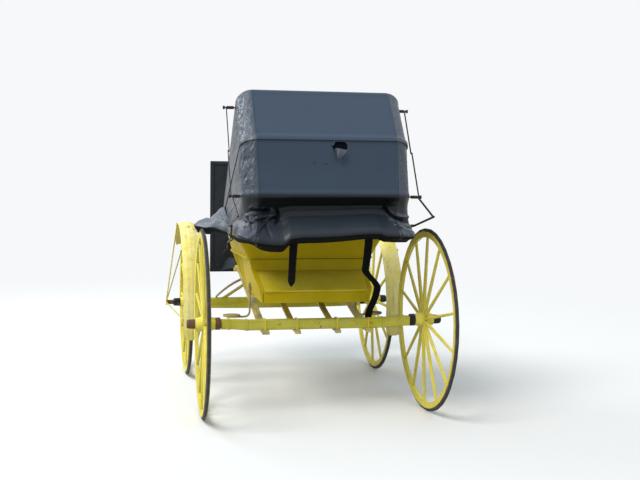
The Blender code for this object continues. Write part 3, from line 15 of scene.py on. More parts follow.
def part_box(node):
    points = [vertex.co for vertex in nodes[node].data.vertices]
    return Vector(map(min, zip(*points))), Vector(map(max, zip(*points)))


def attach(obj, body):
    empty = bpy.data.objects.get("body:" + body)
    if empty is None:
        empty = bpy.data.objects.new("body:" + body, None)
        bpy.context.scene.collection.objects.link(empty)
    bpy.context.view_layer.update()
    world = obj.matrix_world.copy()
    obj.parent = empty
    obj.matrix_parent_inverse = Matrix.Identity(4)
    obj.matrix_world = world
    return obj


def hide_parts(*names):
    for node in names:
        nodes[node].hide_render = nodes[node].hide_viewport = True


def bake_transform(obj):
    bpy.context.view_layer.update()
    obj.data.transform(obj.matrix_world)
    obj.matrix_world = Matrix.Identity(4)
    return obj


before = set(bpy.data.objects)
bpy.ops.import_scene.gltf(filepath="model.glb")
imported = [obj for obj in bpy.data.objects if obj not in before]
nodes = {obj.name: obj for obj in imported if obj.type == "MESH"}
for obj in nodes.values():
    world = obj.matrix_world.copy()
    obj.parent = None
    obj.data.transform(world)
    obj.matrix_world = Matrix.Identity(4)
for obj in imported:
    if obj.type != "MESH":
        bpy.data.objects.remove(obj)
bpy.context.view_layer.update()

# %% [markdown]
# ## The measures that the soft parts share
# The leather lies over bows that turn on one pivot line, so its shape follows from the same few numbers
# as the frame.  Lengths along the carriage are written from the rear axle and moved by MIDDLE.

# %% Measures
MIDDLE = 0.6346  # how far the rear axle lies behind the origin
PIVOT_Y, PIVOT_Z = 0.800 - MIDDLE, 1.140  # the line on which the bows turn
HOOD_HALF = 0.500
BOW_RADIUS = 0.0118
BOW_CORNER = 0.085
# Each bow's angle above straight back, and its reach from the pivot line
BOWS = {"front": (46.9, 1.185), "middle": (29.4, 1.190), "rear": (12.9, 1.148)}
LEATHER = 0.003
SAG = 0.014  # how far the stretched hide sinks between two bows
LEATHER_START = 0.110  # where the hide begins, from the pivot line
SEAM_X = 0.428  # the back seams, on both sides of the middle
APRON_HEM = 1.108
SEAT_TOP, SEAT_BACK_Y = 0.9573, 0.226 - MIDDLE


def blend(a, b, t):
    return a + (b - a) * t


def smooth(t):
    t = min(1.0, max(0.0, t))
    return t * t * (3 - 2 * t)


def bump(t, middle, half):
    """A soft hill of height 1 around a middle."""
    return smooth(1 - abs(t - middle) / half)


def spoke_point(angle, reach, x=0.0):
    """Point at a distance from the pivot line, at an angle above straight back."""
    a = math.radians(angle)
    return Vector((x, PIVOT_Y - reach * math.cos(a), PIVOT_Z + reach * math.sin(a)))


def uneven(x, y, z, height):
    """A smooth random rise and fall from place to place."""
    return noise.noise(Vector((x, y, z))) * height


print("hood reaches back to y =", round(spoke_point(*BOWS["rear"]).y, 3))

# %% [markdown]
# ## Camera, floor and light
# The picture was taken from behind and a little left, at about head height.  The camera stands at the
# place that fits both pairs of wheels.  A wide soft sun from the upper left and an even sky light the
# carriage at a plain level, and a wide soft lamp ahead on the left gives the old leather its shine.  The
# floor turns to plain white far away, so that no horizon shows.

# %% Camera
yaw, pitch, roll = 0.20507, 0.08165, 0.01306
FOCAL_PIXELS, PICTURE_PIXELS, SENSOR = 1018.62, 640, 36
ahead = Vector((math.sin(yaw) * math.cos(pitch), math.cos(yaw) * math.cos(pitch), -math.sin(pitch)))
right = Vector((math.cos(yaw), -math.sin(yaw), 0))
above = right.cross(ahead)
side = right * math.cos(roll) + above * math.sin(roll)
top = above * math.cos(roll) - right * math.sin(roll)
camera_data = bpy.data.cameras.new("camera")
camera_data.lens = FOCAL_PIXELS / PICTURE_PIXELS * SENSOR
camera_data.sensor_width = SENSOR
camera_data.clip_end = 200
camera = bpy.data.objects.new("camera", camera_data)
camera.matrix_world = Matrix((side, top, -ahead)).transposed().to_4x4()
camera.location = (-1.2797, -6.2245 - MIDDLE, 1.6199)
bpy.context.scene.collection.objects.link(camera)
bpy.context.scene.camera = camera
bpy.context.scene.view_settings.view_transform = "Standard"
print("lens", round(camera_data.lens, 2))

# %% [markdown]
# ## Short calls
# A finish is a tree of nodes.  It could be built by hand in the shader editor, but a script that spells
# out every node is hard to read.  A few helpers add a node, link it and do sums with it in one line each,
# and a few more do the same for a primitive, an edit of the whole mesh and a modifier.


# %% Nodes by short calls
def tree_of(name):
    """A new material and its node tree, with the Principled shader in it."""
    m = bpy.data.materials.new(name)
    m.use_nodes = True
    return m, m.node_tree


def feed(tree, socket, value):
    """Link another node's output to an input, or set the input to a plain value."""
    if isinstance(value, bpy.types.NodeSocket):
        tree.links.new(value, socket)
    else:
        socket.default_value = value


def add(tree, kind, inputs=None, **settings):
    """One node with its settings, its inputs linked or set."""
    node = tree.nodes.new(kind)
    for key, value in settings.items():
        setattr(node, key, value)
    for key, value in (inputs or {}).items():
        feed(tree, node.inputs[key], value)
    return node


def maths(tree, operation, a, b=0.0):
    return add(tree, "ShaderNodeMath", {0: a, 1: b}, operation=operation).outputs[0]


def times(tree, a, b):
    return maths(tree, "MULTIPLY", a, b)


def plus(tree, a, b):
    return maths(tree, "ADD", a, b)


def minus(tree, a, b):
    return maths(tree, "SUBTRACT", a, b)


def most(tree, a, b):
    return maths(tree, "MAXIMUM", a, b)


def span(tree, value, low, high, to_low=0.0, to_high=1.0):
    """Map a value from one range to another, softly and clamped."""
    ends = {"Value": value, "From Min": low, "From Max": high, "To Min": to_low, "To Max": to_high}
    return add(tree, "ShaderNodeMapRange", ends, interpolation_type="SMOOTHSTEP").outputs[0]


def tint(tree, factor, a, b, mode="MIX"):
    """Mix two colours by a factor."""
    node = tree.nodes.new("ShaderNodeMix")
    node.data_type, node.blend_type = "RGBA", mode
    for key, value in ((0, factor), (6, a), (7, b)):
        feed(tree, node.inputs[key], value)
    return node.outputs[2]


def grain(tree, where, scale, detail=4.0, roughness=0.6, distortion=0.0):
    return add(tree, "ShaderNodeTexNoise", {"Vector": where, "Scale": scale, "Detail": detail,
                                            "Roughness": roughness, "Distortion": distortion}).outputs[0]


def stretched_space(tree, where, x, y, z):
    return add(tree, "ShaderNodeMapping", {"Vector": where, "Scale": (x, y, z)}).outputs[0]


# %% Shapes by short calls
def started(name, primitive, **settings):
    """A primitive, added on its own and named, ready to be shaped."""
    bpy.ops.object.select_all(action="DESELECT")
    primitive(**settings)
    piece = bpy.context.object
    piece.name = piece.data.name = name
    return piece


def edited(*steps):
    """Run mesh operators on the whole of the active piece."""
    bpy.ops.object.mode_set(mode="EDIT")
    bpy.ops.mesh.select_all(action="SELECT")
    for operator, settings in steps:
        operator(**settings)
    bpy.ops.object.mode_set(mode="OBJECT")


def modified(piece, name, kind, **settings):
    """Set one modifier on the active piece and apply it."""
    modifier = piece.modifiers.new(name, kind)
    for key, value in settings.items():
        setattr(modifier, key, value)
    bpy.ops.object.modifier_apply(modifier=modifier.name)


def alone(piece):
    """Select one piece and make it the active one."""
    bpy.ops.object.select_all(action="DESELECT")
    bpy.context.view_layer.objects.active = piece
    piece.select_set(True)


# %% Floor and sky
def white_rays(tree):
    """1 for what the camera, a mirror or a glass looks at."""
    path = add(tree, "ShaderNodeLightPath")
    both = most(tree, path.outputs["Is Camera Ray"], path.outputs["Is Glossy Ray"])
    return most(tree, both, path.outputs["Is Transmission Ray"])


PAPER = (0.93, 0.94, 0.95, 1)  # the white that the camera sees far away
world = bpy.data.worlds.new("sky")
bpy.context.scene.world = world
world.use_nodes = True
sky = world.node_tree
sky.nodes.clear()
light = add(sky, "ShaderNodeBackground", {"Color": (0.86, 0.93, 1.0, 1), "Strength": 0.74})
white = add(sky, "ShaderNodeBackground", {"Color": PAPER, "Strength": 1.0})
mix = add(sky, "ShaderNodeMixShader", {0: white_rays(sky), 1: light.outputs[0], 2: white.outputs[0]})
add(sky, "ShaderNodeOutputWorld", {"Surface": mix.outputs[0]})

floor = started("floor", bpy.ops.mesh.primitive_plane_add, size=80)
ground, tree = tree_of("pale_floor")
tree.nodes.clear()
place = add(tree, "ShaderNodeTexCoord").outputs["Object"]
far = add(tree, "ShaderNodeVectorMath", {0: place}, operation="LENGTH").outputs["Value"]
fade = times(tree, span(tree, far, 3.0, 9.0), white_rays(tree))
pale = tint(tree, white_rays(tree), (0.46, 0.46, 0.43, 1), (0.80, 0.80, 0.79, 1))
matte = add(tree, "ShaderNodeBsdfDiffuse", {"Color": pale})
glow = add(tree, "ShaderNodeEmission", {"Color": PAPER, "Strength": 1.0})
mix = add(tree, "ShaderNodeMixShader", {0: fade, 1: matte.outputs[0], 2: glow.outputs[0]})
add(tree, "ShaderNodeOutputMaterial", {"Surface": mix.outputs[0]})
floor.data.materials.append(ground)


def lamp(name, kind, energy, colour, at, way):
    """A light that looks along way, and its settings."""
    data = bpy.data.lights.new(name, kind)
    data.energy, data.color = energy, colour
    piece = bpy.data.objects.new(name, data)
    piece.location = at
    piece.rotation_mode = "QUATERNION"
    piece.rotation_quaternion = way.to_track_quat("-Z", "Y")
    bpy.context.scene.collection.objects.link(piece)
    return piece, data


sun, sun_data = lamp("soft_sun", "SUN", 2.0, (1.0, 0.97, 0.92), (0, 0, 0), Vector((0.62, 0.42, -0.80)))
sun_data.angle = math.radians(28)
AHEAD_LEFT = Vector((-4.2, 2.2, 4.2))
shine, shine_data = lamp("soft_lamp", "AREA", 150, (0.88, 0.94, 1.0), AHEAD_LEFT,
                         Vector((0, -0.7, 1.3)) - AHEAD_LEFT)
shine_data.shape, shine_data.size = "DISK", 3.2
shine.visible_camera = False
print("light and floor ready:", sun.name, shine.name)

# %% [markdown]
# ## Effects that several finishes share
# Old paint is never one colour: it fades in patches, chips at its edges and collects dirt.  Each of
# these effects is a node group with named inputs, so a finish is only a choice of values.  Edges are
# found by comparing the surface's normal with one rounded over a few millimetres.


# %% A group with named sockets
def group(name, inputs, outputs):
    g = bpy.data.node_groups.new(name, "ShaderNodeTree")
    for label, kind, value in inputs:
        socket = g.interface.new_socket(label, in_out="INPUT", socket_type="NodeSocket" + kind)
        if kind != "Vector":
            socket.default_value = value
    for label, kind in outputs:
        g.interface.new_socket(label, in_out="OUTPUT", socket_type="NodeSocket" + kind)
    return g, g.nodes.new("NodeGroupInput").outputs, g.nodes.new("NodeGroupOutput").inputs


def use(tree, g, **inputs):
    """Place a group in a material with its own values."""
    node = tree.nodes.new("ShaderNodeGroup")
    node.node_tree = g
    for key, value in inputs.items():
        feed(tree, node.inputs[key.replace("_", " ")], value)
    return node.outputs


# %% Worn edges
worn_edges, given, gives = group(
    "Worn edges", [("Place", "Vector", 0), ("Width", "Float", 0.004), ("Amount", "Float", 0.5)],
    [("Mask", "Float")])
g = worn_edges
rounded = add(g, "ShaderNodeBevel", {"Radius": given["Width"]}, samples=4).outputs[0]
flat = add(g, "ShaderNodeNewGeometry").outputs["Normal"]
turn = add(g, "ShaderNodeVectorMath", {0: rounded, 1: flat}, operation="DOT_PRODUCT").outputs["Value"]
edge = span(g, turn, 0.995, 0.86)
patches = grain(g, given["Place"], 38.0, 5.0, 0.7)
level = minus(g, 0.80, times(g, given["Amount"], 0.42))
g.links.new(span(g, times(g, edge, patches), times(g, level, 0.72), level), gives["Mask"])
print("worn edges:", len(g.nodes), "nodes")

# %% Chips and specks
specks, given, gives = group(
    "Chips and specks", [("Place", "Vector", 0), ("Scale", "Float", 1.0), ("Amount", "Float", 0.4)],
    [("Mask", "Float")])
g = specks
size = {0: given["Place"], "Scale": given["Scale"]}
where = add(g, "ShaderNodeVectorMath", size, operation="SCALE").outputs[0]
crowd = span(g, grain(g, where, 3.2, 3.0, 0.55), 0.46, 0.72)
reach = times(g, plus(g, crowd, 0.25), given["Amount"])
fine, coarse = grain(g, where, 70.0, 3.0, 0.62, 0.4), grain(g, where, 24.0, 5.0, 0.70, 0.6)
small = span(g, fine, minus(g, 0.86, times(g, reach, 0.22)), minus(g, 0.89, times(g, reach, 0.22)))
large = span(g, coarse, minus(g, 0.87, times(g, reach, 0.20)), minus(g, 0.90, times(g, reach, 0.20)))
g.links.new(most(g, small, large), gives["Mask"])
print("chips and specks:", len(g.nodes), "nodes")

# %% [markdown]
# The carriage was painted yellow with a brush, long ago.  One flat colour would look new, and a photograph
# laid over it would fit no other part.  This group mixes the paint with its faded colour in soft clouds,
# adds streaks of dirt along the grain, and shows bare wood or iron where the paint has chipped off.

# %% Old paint over wood or iron
old_paint, given, gives = group(
    "Old paint",
    [("Place", "Vector", 0), ("Paint", "Color", (0.5, 0.4, 0.1, 1)), ("Faded", "Color", (0.7, 0.6, 0.3, 1)),
     ("Bare", "Color", (0.12, 0.07, 0.04, 1)), ("Grime", "Color", (0.16, 0.12, 0.05, 1)),
     ("Fading", "Float", 0.5), ("Chipping", "Float", 0.3), ("Dirt", "Float", 0.3), ("Scale", "Float", 1.0),
     ("Along grain", "Vector", 0)],
    [("Colour", "Color"), ("Roughness", "Float"), ("Height", "Float")])
g, here = old_paint, given["Place"]
clouds = grain(g, here, 5.0, 5.0, 0.6)
soft = span(g, clouds, 0.32, 0.68)
colour = tint(g, times(g, soft, given["Fading"]), given["Paint"], given["Faded"])
streaks = grain(g, given["Along grain"], 1.0, 6.0, 0.65)
dirty = times(g, span(g, streaks, 0.48, 0.78), given["Dirt"])
mottle = times(g, span(g, grain(g, here, 55.0, 4.0, 0.7), 0.50, 0.80), given["Dirt"])
colour = tint(g, most(g, dirty, times(g, mottle, 0.7)), colour, given["Grime"])
chips = use(g, specks, Place=here, Scale=given["Scale"], Amount=given["Chipping"])["Mask"]
edges = use(g, worn_edges, Place=here, Width=0.004, Amount=given["Chipping"])["Mask"]
lost = most(g, chips, times(g, edges, 0.85))
colour = tint(g, lost, colour, given["Bare"])
g.links.new(colour, gives["Colour"])
rough = plus(g, 0.40, times(g, clouds, 0.16))
g.links.new(plus(g, rough, times(g, most(g, lost, dirty), 0.30)), gives["Roughness"])
brush = grain(g, stretched_space(g, here, 90, 90, 14), 1.0, 3.0)
g.links.new(minus(g, times(g, brush, 0.25), lost), gives["Height"])
print("old paint:", len(g.nodes), "nodes")

# %% [markdown]
# Old leather is dark and oily, with fine pebbles, shallow creases and dusty patches.  Faces that look up are
# painted paler and bluer, a painted reflection of the sky, and faces that look down are painted near black,
# painted shade.  Modelling each crease would need millions of faces, so the small relief is a bump made of
# noise, and only the large folds are real shape.

# %% Leather
leather_group, given, gives = group(
    "Old leather",
    [("Place", "Vector", 0), ("Hide", "Color", (0.02, 0.03, 0.05, 1)),
     ("Scuffed", "Color", (0.10, 0.12, 0.16, 1)), ("Wear", "Float", 0.3), ("Creases", "Float", 0.4),
     ("Gloss", "Float", 0.5), ("Sky dust", "Float", 0.0)],
    [("Colour", "Color"), ("Roughness", "Float"), ("Height", "Float")])
g, here = leather_group, given["Place"]
slope = add(g, "ShaderNodeSeparateXYZ", {0: add(g, "ShaderNodeNewGeometry").outputs["Normal"]}).outputs["Z"]
upward = span(g, slope, -0.35, 0.95)
cells = {"Vector": here, "Scale": 420.0}
pebble = add(g, "ShaderNodeTexVoronoi", cells, feature="SMOOTH_F1").outputs[0]
cloud = grain(g, here, 4.0, 6.0, 0.62)
warp = grain(g, here, 13.0, 4.0, 0.6, 1.2)
ridge = maths(g, "ABSOLUTE", minus(g, warp, 0.5))
crease = times(g, span(g, ridge, 0.030, 0.0), given["Creases"])
scuff = times(g, span(g, grain(g, here, 31.0, 8.0, 0.75), 0.56, 0.80), given["Wear"])
dust_and_sky_light = times(g, span(g, cloud, 0.45, 0.75), times(g, given["Wear"], 0.6))
# The paler colour marks scuffs and dust, and faces that look up are painted paler as well: painted sky light.
painted_sky_light = times(g, upward, given["Sky dust"])
colour = tint(g, most(g, most(g, scuff, dust_and_sky_light), painted_sky_light), given["Hide"], given["Scuffed"])
# Faces that look down are painted near black: painted shade on the undersides.
colour = tint(g, span(g, slope, -0.02, -0.50, 0.0, 0.85), colour, (0.001, 0.0015, 0.002, 1))
specs = span(g, grain(g, here, 160.0, 2.0, 0.5), 0.80, 0.83)
colour = tint(g, times(g, specs, 0.5), colour, (0.35, 0.37, 0.40, 1))
g.links.new(colour, gives["Colour"])
rough = minus(g, 0.78, times(g, given["Gloss"], 0.55))
g.links.new(plus(g, rough, plus(g, times(g, cloud, 0.18), times(g, scuff, 0.2))), gives["Roughness"])
height = plus(g, times(g, pebble, 0.10), times(g, warp, times(g, given["Creases"], 1.4)))
g.links.new(minus(g, height, times(g, crease, 0.35)), gives["Height"])
print("old leather:", len(g.nodes), "nodes")

# %% [markdown]
# The irons were painted black, and rust shows through in patches.  Paint and rust differ in colour, in
# shine and in how metallic they look, so one mask drives all three.

# %% Rusty iron
old_iron, given, gives = group(
    "Old iron",
    [("Place", "Vector", 0), ("Paint", "Color", (0.02, 0.02, 0.022, 1)),
     ("Rust", "Color", (0.16, 0.075, 0.035, 1)), ("Rusting", "Float", 0.5)],
    [("Colour", "Color"), ("Roughness", "Float"), ("Metallic", "Float"), ("Height", "Float")])
g = old_iron
patch = grain(g, given["Place"], 17.0, 7.0, 0.68)
level = minus(g, 0.82, times(g, given["Rusting"], 0.55))
rusty = span(g, patch, minus(g, level, 0.07), plus(g, level, 0.07))
pits = grain(g, given["Place"], 240.0, 3.0, 0.7)
rust = tint(g, span(g, pits, 0.35, 0.7), given["Rust"], (0.07, 0.035, 0.022, 1))
g.links.new(tint(g, rusty, given["Paint"], rust), gives["Colour"])
g.links.new(plus(g, 0.42, times(g, rusty, 0.38)), gives["Roughness"])
g.links.new(minus(g, 0.55, times(g, rusty, 0.5)), gives["Metallic"])
g.links.new(times(g, pits, plus(g, 0.2, rusty)), gives["Height"])
print("effects:", [x.name for x in bpy.data.node_groups])


# %% [markdown]
# ## Finishes
# Each finish places the groups in a material of its own.  Values that are the same all over, such as a
# coat or a sheen, are set on the shader itself.

# %% Finish a shader from a group's outputs
def finish(name, outputs_of, bump_distance=0.0008, bump_strength=0.5, **fixed):
    m, tree = tree_of(name)
    where = add(tree, "ShaderNodeTexCoord").outputs["Object"]
    outputs = outputs_of(tree, where)
    shader = tree.nodes["Principled BSDF"]
    names = {"Colour": "Base Color", "Roughness": "Roughness", "Metallic": "Metallic"}
    for label, socket in names.items():
        if label in outputs:
            tree.links.new(outputs[label], shader.inputs[socket])
    raised = add(tree, "ShaderNodeBump", {"Height": outputs["Height"], "Distance": bump_distance,
                                          "Strength": bump_strength})
    tree.links.new(raised.outputs[0], shader.inputs["Normal"])
    for key, value in fixed.items():
        shader.inputs[key.replace("_", " ")].default_value = value
    return m


def paint_finish(name, paint, faded, fading, chipping, dirt, scale=1.0, bare=(0.13, 0.075, 0.045, 1),
                 grime=(0.16, 0.12, 0.05, 1), run=(26, 26, 3), **fixed):
    """After the colours come how much it has faded, chipped and gathered dirt, and the marks' scale."""
    return finish(name, lambda tree, where: use(
        tree, old_paint, Place=where, Paint=(*paint, 1), Faded=(*faded, 1), Bare=bare, Grime=grime,
        Fading=fading, Chipping=chipping, Dirt=dirt, Scale=scale,
        Along_grain=stretched_space(tree, where, *run)), **fixed)


ACROSS, LENGTHWISE = (3, 26, 26), (26, 3, 26)
# On the body and the lid, worn edges and chips turn pale: real wear, and along the edges also a painted
# highlight.
PALE_WEAR_AND_EDGE_HIGHLIGHT, OLIVE = (0.72, 0.62, 0.26, 1), (0.16, 0.12, 0.010, 1)
RUST_BROWN = (0.13, 0.075, 0.045, 1)
body_paint = paint_finish("body_paint", (0.52, 0.385, 0.002), (0.60, 0.46, 0.012), 0.6, 0.36, 0.12, 1.0,
                          PALE_WEAR_AND_EDGE_HIGHLIGHT, OLIVE, Specular_IOR_Level=0.12)
# The lid's paint is a lighter copy of the body's: painted light on the lid, which faces up.
lit_lid_paint = paint_finish("lit_lid_paint", (0.66, 0.51, 0.014), (0.74, 0.60, 0.07), 0.7, 0.45, 0.14, 1.0,
                         PALE_WEAR_AND_EDGE_HIGHLIGHT, OLIVE, Specular_IOR_Level=0.15)
bed_paint = paint_finish("bed_paint", (0.50, 0.45, 0.030), (0.60, 0.55, 0.100), 0.9, 1.0, 0.50, 1.0,
                         RUST_BROWN, run=ACROSS, Specular_IOR_Level=0.15)
gear_paint = paint_finish("gear_paint", (0.62, 0.52, 0.040), (0.72, 0.62, 0.10), 0.8, 0.85, 0.38,
                          Specular_IOR_Level=0.15)
wheel_paint = paint_finish("wheel_paint", (0.70, 0.595, 0.060), (0.80, 0.70, 0.15), 0.8, 0.80, 0.34,
                           Specular_IOR_Level=0.15)
guard_paint = paint_finish("guard_paint", (0.80, 0.68, 0.16), (0.87, 0.78, 0.32), 0.9, 1.0, 0.46,
                           Specular_IOR_Level=0.2)
slat_finish = paint_finish("slat_paint", (0.70, 0.56, 0.17), (0.30, 0.30, 0.16), 1.0, 1.1, 0.8, 1.6,
                           (0.16, 0.10, 0.07, 1), run=LENGTHWISE, Specular_IOR_Level=0.12)
tread_finish = paint_finish("tread_paint", (0.48, 0.40, 0.10), (0.24, 0.22, 0.19), 1.0, 2.2, 1.0, 2.0,
                            (0.15, 0.11, 0.09, 1), Specular_IOR_Level=0.2)
spring_finish = paint_finish("spring_paint", (0.30, 0.20, 0.09), (0.42, 0.30, 0.14), 1.0, 1.3, 0.8, 1.4,
                             (0.13, 0.06, 0.035, 1), Specular_IOR_Level=0.2)
print("paints ready")


# %% Leather and iron
def hide_finish(name, hide, paler, wear, creases, gloss, dust_and_sky_light, distance, strength, shine):
    """After the colours: wear, creases, gloss, painted sky light, the bumps' height and strength, and shine.
    """
    return finish(name, lambda tree, where: use(
        tree, leather_group, Place=where, Hide=(*hide, 1), Scuffed=(*paler, 1), Wear=wear,
        Creases=creases, Gloss=gloss, Sky_dust=dust_and_sky_light), distance, strength, Specular_IOR_Level=shine)


leather = hide_finish("hood_leather", (0.016, 0.028, 0.045), (0.058, 0.092, 0.145),
                      0.22, 0.22, 0.72, 0.72, 0.0012, 0.45, 0.30)
# A lighter copy of the hide with deeper creases: real creasing and wear, and painted highlight on the
# crinkled corners and the torn flap.
creased_lit = hide_finish("creased_lit_leather", (0.016, 0.026, 0.040), (0.115, 0.145, 0.195),
                      0.42, 1.0, 0.92, 0.60, 0.0040, 0.85, 0.55)
# The apron's hide is a darker copy of the hood's: painted shade over the apron, with its own wear.
shaded_slack = hide_finish("shaded_slack_leather", (0.0035, 0.006, 0.010), (0.060, 0.078, 0.106),
                    0.16, 0.55, 0.88, 0.34, 0.0020, 0.55, 0.30)
# A lighter copy of the apron's hide for its outer quarters: painted highlight, with real creases.
creased_lit_slack = hide_finish("creased_lit_slack", (0.006, 0.010, 0.017), (0.120, 0.145, 0.190),
                            0.26, 0.9, 0.95, 0.62, 0.0032, 0.8, 0.45)
# The flanks get a lighter copy of the hide: painted light on the sides of the hood, with real wear and
# creases.
lit_flank = hide_finish("lit_flank_leather", (0.040, 0.047, 0.057), (0.145, 0.165, 0.195),
                    0.50, 0.9, 0.80, 0.40, 0.0030, 0.80, 0.45)
dash_leather = hide_finish("dash_leather", (0.018, 0.024, 0.034), (0.055, 0.064, 0.080),
                           0.45, 0.5, 0.6, 0.0, 0.0015, 0.6, 0.25)
seat_leather = hide_finish("seat_leather", (0.020, 0.021, 0.024), (0.075, 0.070, 0.066),
                           0.5, 0.6, 0.55, 0.3, 0.0012, 0.6, 0.4)
strap_leather = hide_finish("strap_leather", (0.003, 0.0035, 0.003), (0.014, 0.014, 0.012),
                            0.35, 0.4, 0.2, 0.0, 0.0010, 0.5, 0.08)
# Near black: painted shade for the inside of the hood.
shaded_lining_cloth = hide_finish("shaded_lining_cloth", (0.003, 0.004, 0.006), (0.010, 0.011, 0.013),
                           0.5, 0.3, 0.0, 0.0, 0.0008, 0.5, 0.05)
black_iron = finish("black_iron", lambda t, w: use(t, old_iron, Place=w, Paint=(0.012, 0.012, 0.013, 1),
                    Rusting=0.42), 0.0006, 0.5)
rusty_iron = finish("rusty_iron", lambda t, w: use(t, old_iron, Place=w, Paint=(0.035, 0.03, 0.028, 1),
                    Rusting=0.95), 0.0008, 0.6)
print("finishes:", len(bpy.data.materials))

# %% [markdown]
# ## Sheets of leather
# The hood is leather stretched over three bows.  A flat box would never show how the hide wraps the
# bows and sinks between them, so each panel is a fine grid whose points are laid on the bows' outline
# and then drawn in, wrinkled and given its thickness.  The places come from two numbers: one across the
# panel, from the left foot over the top to the right foot, and one from bow to bow.


# %% A grid laid out by a rule
def laid_sheet(name, columns, rows, rule, thickness, outside, finish_of, smooth_angle=60):
    """A grid of leather laid by rule(u, v), thickened away from the point it encloses."""
    piece = started(name, bpy.ops.mesh.primitive_grid_add, size=1, x_subdivisions=columns,
                    y_subdivisions=rows)
    for v in piece.data.vertices:
        v.co = rule(v.co.x + 0.5, v.co.y + 0.5)
    piece.data.update()
    faces = piece.data.polygons
    if sum((f.center - outside(f.center)).dot(f.normal) * f.area for f in faces) < 0:
        edited((bpy.ops.mesh.flip_normals, {}))
    piece["flat_area"] = sum(f.area for f in faces)
    modified(piece, "thickness", "SOLIDIFY", thickness=thickness, offset=1.0, use_quality_normals=True)
    bpy.ops.object.shade_smooth_by_angle(angle=math.radians(smooth_angle))
    piece.data.materials.clear()
    for m in finish_of:
        piece.data.materials.append(m)
    print(name, "faces", len(piece.data.polygons), "area", round(piece["flat_area"], 3))
    return piece


def flat_size(piece, across, down):
    """The size a sheet was cut to: its measured area in the given proportions."""
    scale = math.sqrt(piece["flat_area"] / (across * down))
    return across * scale, down * scale


def closer(*places):
    """A rule that moves a grid's columns together: each place is from, to and how much closer."""
    even = np.linspace(0, 1, 801)
    share = np.cumsum([0.0] + [1.0 + sum(more for a, b, more in places if a <= p < b) for p in even[1:]])
    return lambda u: float(np.interp(u, share / share[-1], even))


def cut_out(piece, cutter):
    """Take one closed shape out of a piece and throw the shape away."""
    alone(piece)
    modified(piece, "hole", "BOOLEAN", object=cutter, operation="DIFFERENCE", solver="EXACT")
    bpy.data.objects.remove(cutter, do_unlink=True)


# %% The outline over a bow
def over_bow(reach, u):
    """Place over a bow: u runs from the left foot (0) over the top (0.5) to the right foot (1)."""
    w, r, c = HOOD_HALF + BOW_RADIUS, reach + BOW_RADIUS, BOW_CORNER + BOW_RADIUS
    level, turn, leg = w - c, c * math.pi / 2, r - c - LEATHER_START
    s = abs(u - 0.5) * 2 * (level + turn + leg)
    way = -1 if u < 0.5 else 1
    if s <= level:
        return way * s, r
    if s <= level + turn:
        a = (s - level) / c
        return way * (level + c * math.sin(a)), r - c + c * math.cos(a)
    return way * w, r - c - (s - level - turn)


def u_at(reach, x):
    """The number across the panel at which the top of a bow has this x."""
    w, r, c = HOOD_HALF + BOW_RADIUS, reach + BOW_RADIUS, BOW_CORNER + BOW_RADIUS
    level, turn, leg = w - c, c * math.pi / 2, r - c - LEATHER_START
    s = abs(x) if abs(x) <= level else level + c * math.asin(min(1, (abs(x) - level) / c))
    return 0.5 + math.copysign(s / (level + turn + leg) / 2, x)


CRUMPLE, WAVE, RIPPLE = 0.0062, 0.0030, 0.0011


def hood_point(first, second, u, t, out=0.0, crinkled=1.0):
    """Point of the stretched leather between two bows, out metres proud of the hide's inner face."""
    (a0, r0), (a1, r1) = BOWS[first], BOWS[second]
    x0, q0 = over_bow(r0, u)
    x1, q1 = over_bow(r1, u)
    x, q = blend(x0, x1, t), blend(q0, q1, t)
    inside = min(1.0, max(0.0, t))
    lift = SAG * math.sin(math.pi * inside) * smooth((q - 0.5) / 0.6)
    corner = smooth((abs(x) - SEAM_X + 0.01) / 0.03) * smooth((q - 0.55) / 0.4)
    free = math.sin(math.pi * inside) ** 0.7
    where = Vector((x, t * 0.31 + (0 if first == "front" else 2.0), q))
    where.y = where.y * 0.75 + where.x * 0.5
    crumple = noise.noise(where * 24) * 0.6 + noise.noise(where * 52 + Vector((3, 1, 7))) * 0.35
    crumple = max(-0.35, 1 - abs(crumple) * 3.0) * CRUMPLE * corner * free * (1.0 if x < 0 else 0.45)
    wave = uneven(x * 5, t * 1.7, q * 3, WAVE) * free
    ripple = uneven(x * 16, t * 3.1, q * 9 + 4, RIPPLE) * free
    q = q - lift + out + (crumple + wave + ripple) * (0 if abs(x) >= HOOD_HALF else 1) * crinkled
    sideways = max(-0.004, (crumple + wave * 0.8 + ripple) * crinkled - lift * 0.175) + out
    x += sideways * smooth((abs(x) - 0.46) / 0.04) * (1 if x > 0 else -1)
    return spoke_point(blend(a0, a1, t), q, x)


def hood_middle_of(p):
    return Vector((0, PIVOT_Y - 0.35, PIVOT_Z + 0.25))


print("seam at u =", round(u_at(1.185, -SEAM_X), 4))

# %% [markdown]
# ## The hood's two panels
# Each panel reaches a little past its bows, so that the upper one laps over the lower one as a hem.  The
# back seams join the side quarters to the back, and the old hide has a torn hole and two short slits.

# %% Upper and lower leather
COLUMNS, ROWS = 270, 44
panel_columns = closer((0.300, 0.385, 5.0), (0.615, 0.700, 4.0))


def upper_rule(u, v):
    """From just over the front bow (v = 1) down to a hem behind the middle bow (v = 0)."""
    t = blend(1.045, -0.035, v)
    over = 0.0036 * smooth((t - 0.93) / 0.05)
    edge = 0.006 * smooth((-t) / 0.035)
    ridge = 0.0028 * max(bump(t, 0.0, 0.10), bump(t, 1.0, 0.10))
    return hood_point("front", "middle", u, t, over + ridge - edge)


def lower_rule(u, v):
    t = blend(1.03, -0.01, v)
    ridge = 0.0028 * max(bump(t, 1.0, 0.10), bump(t, 0.0, 0.10))
    edge = 0.005 * smooth((t - 1.0) / 0.03)
    return hood_point("middle", "rear", u, t, ridge - edge)


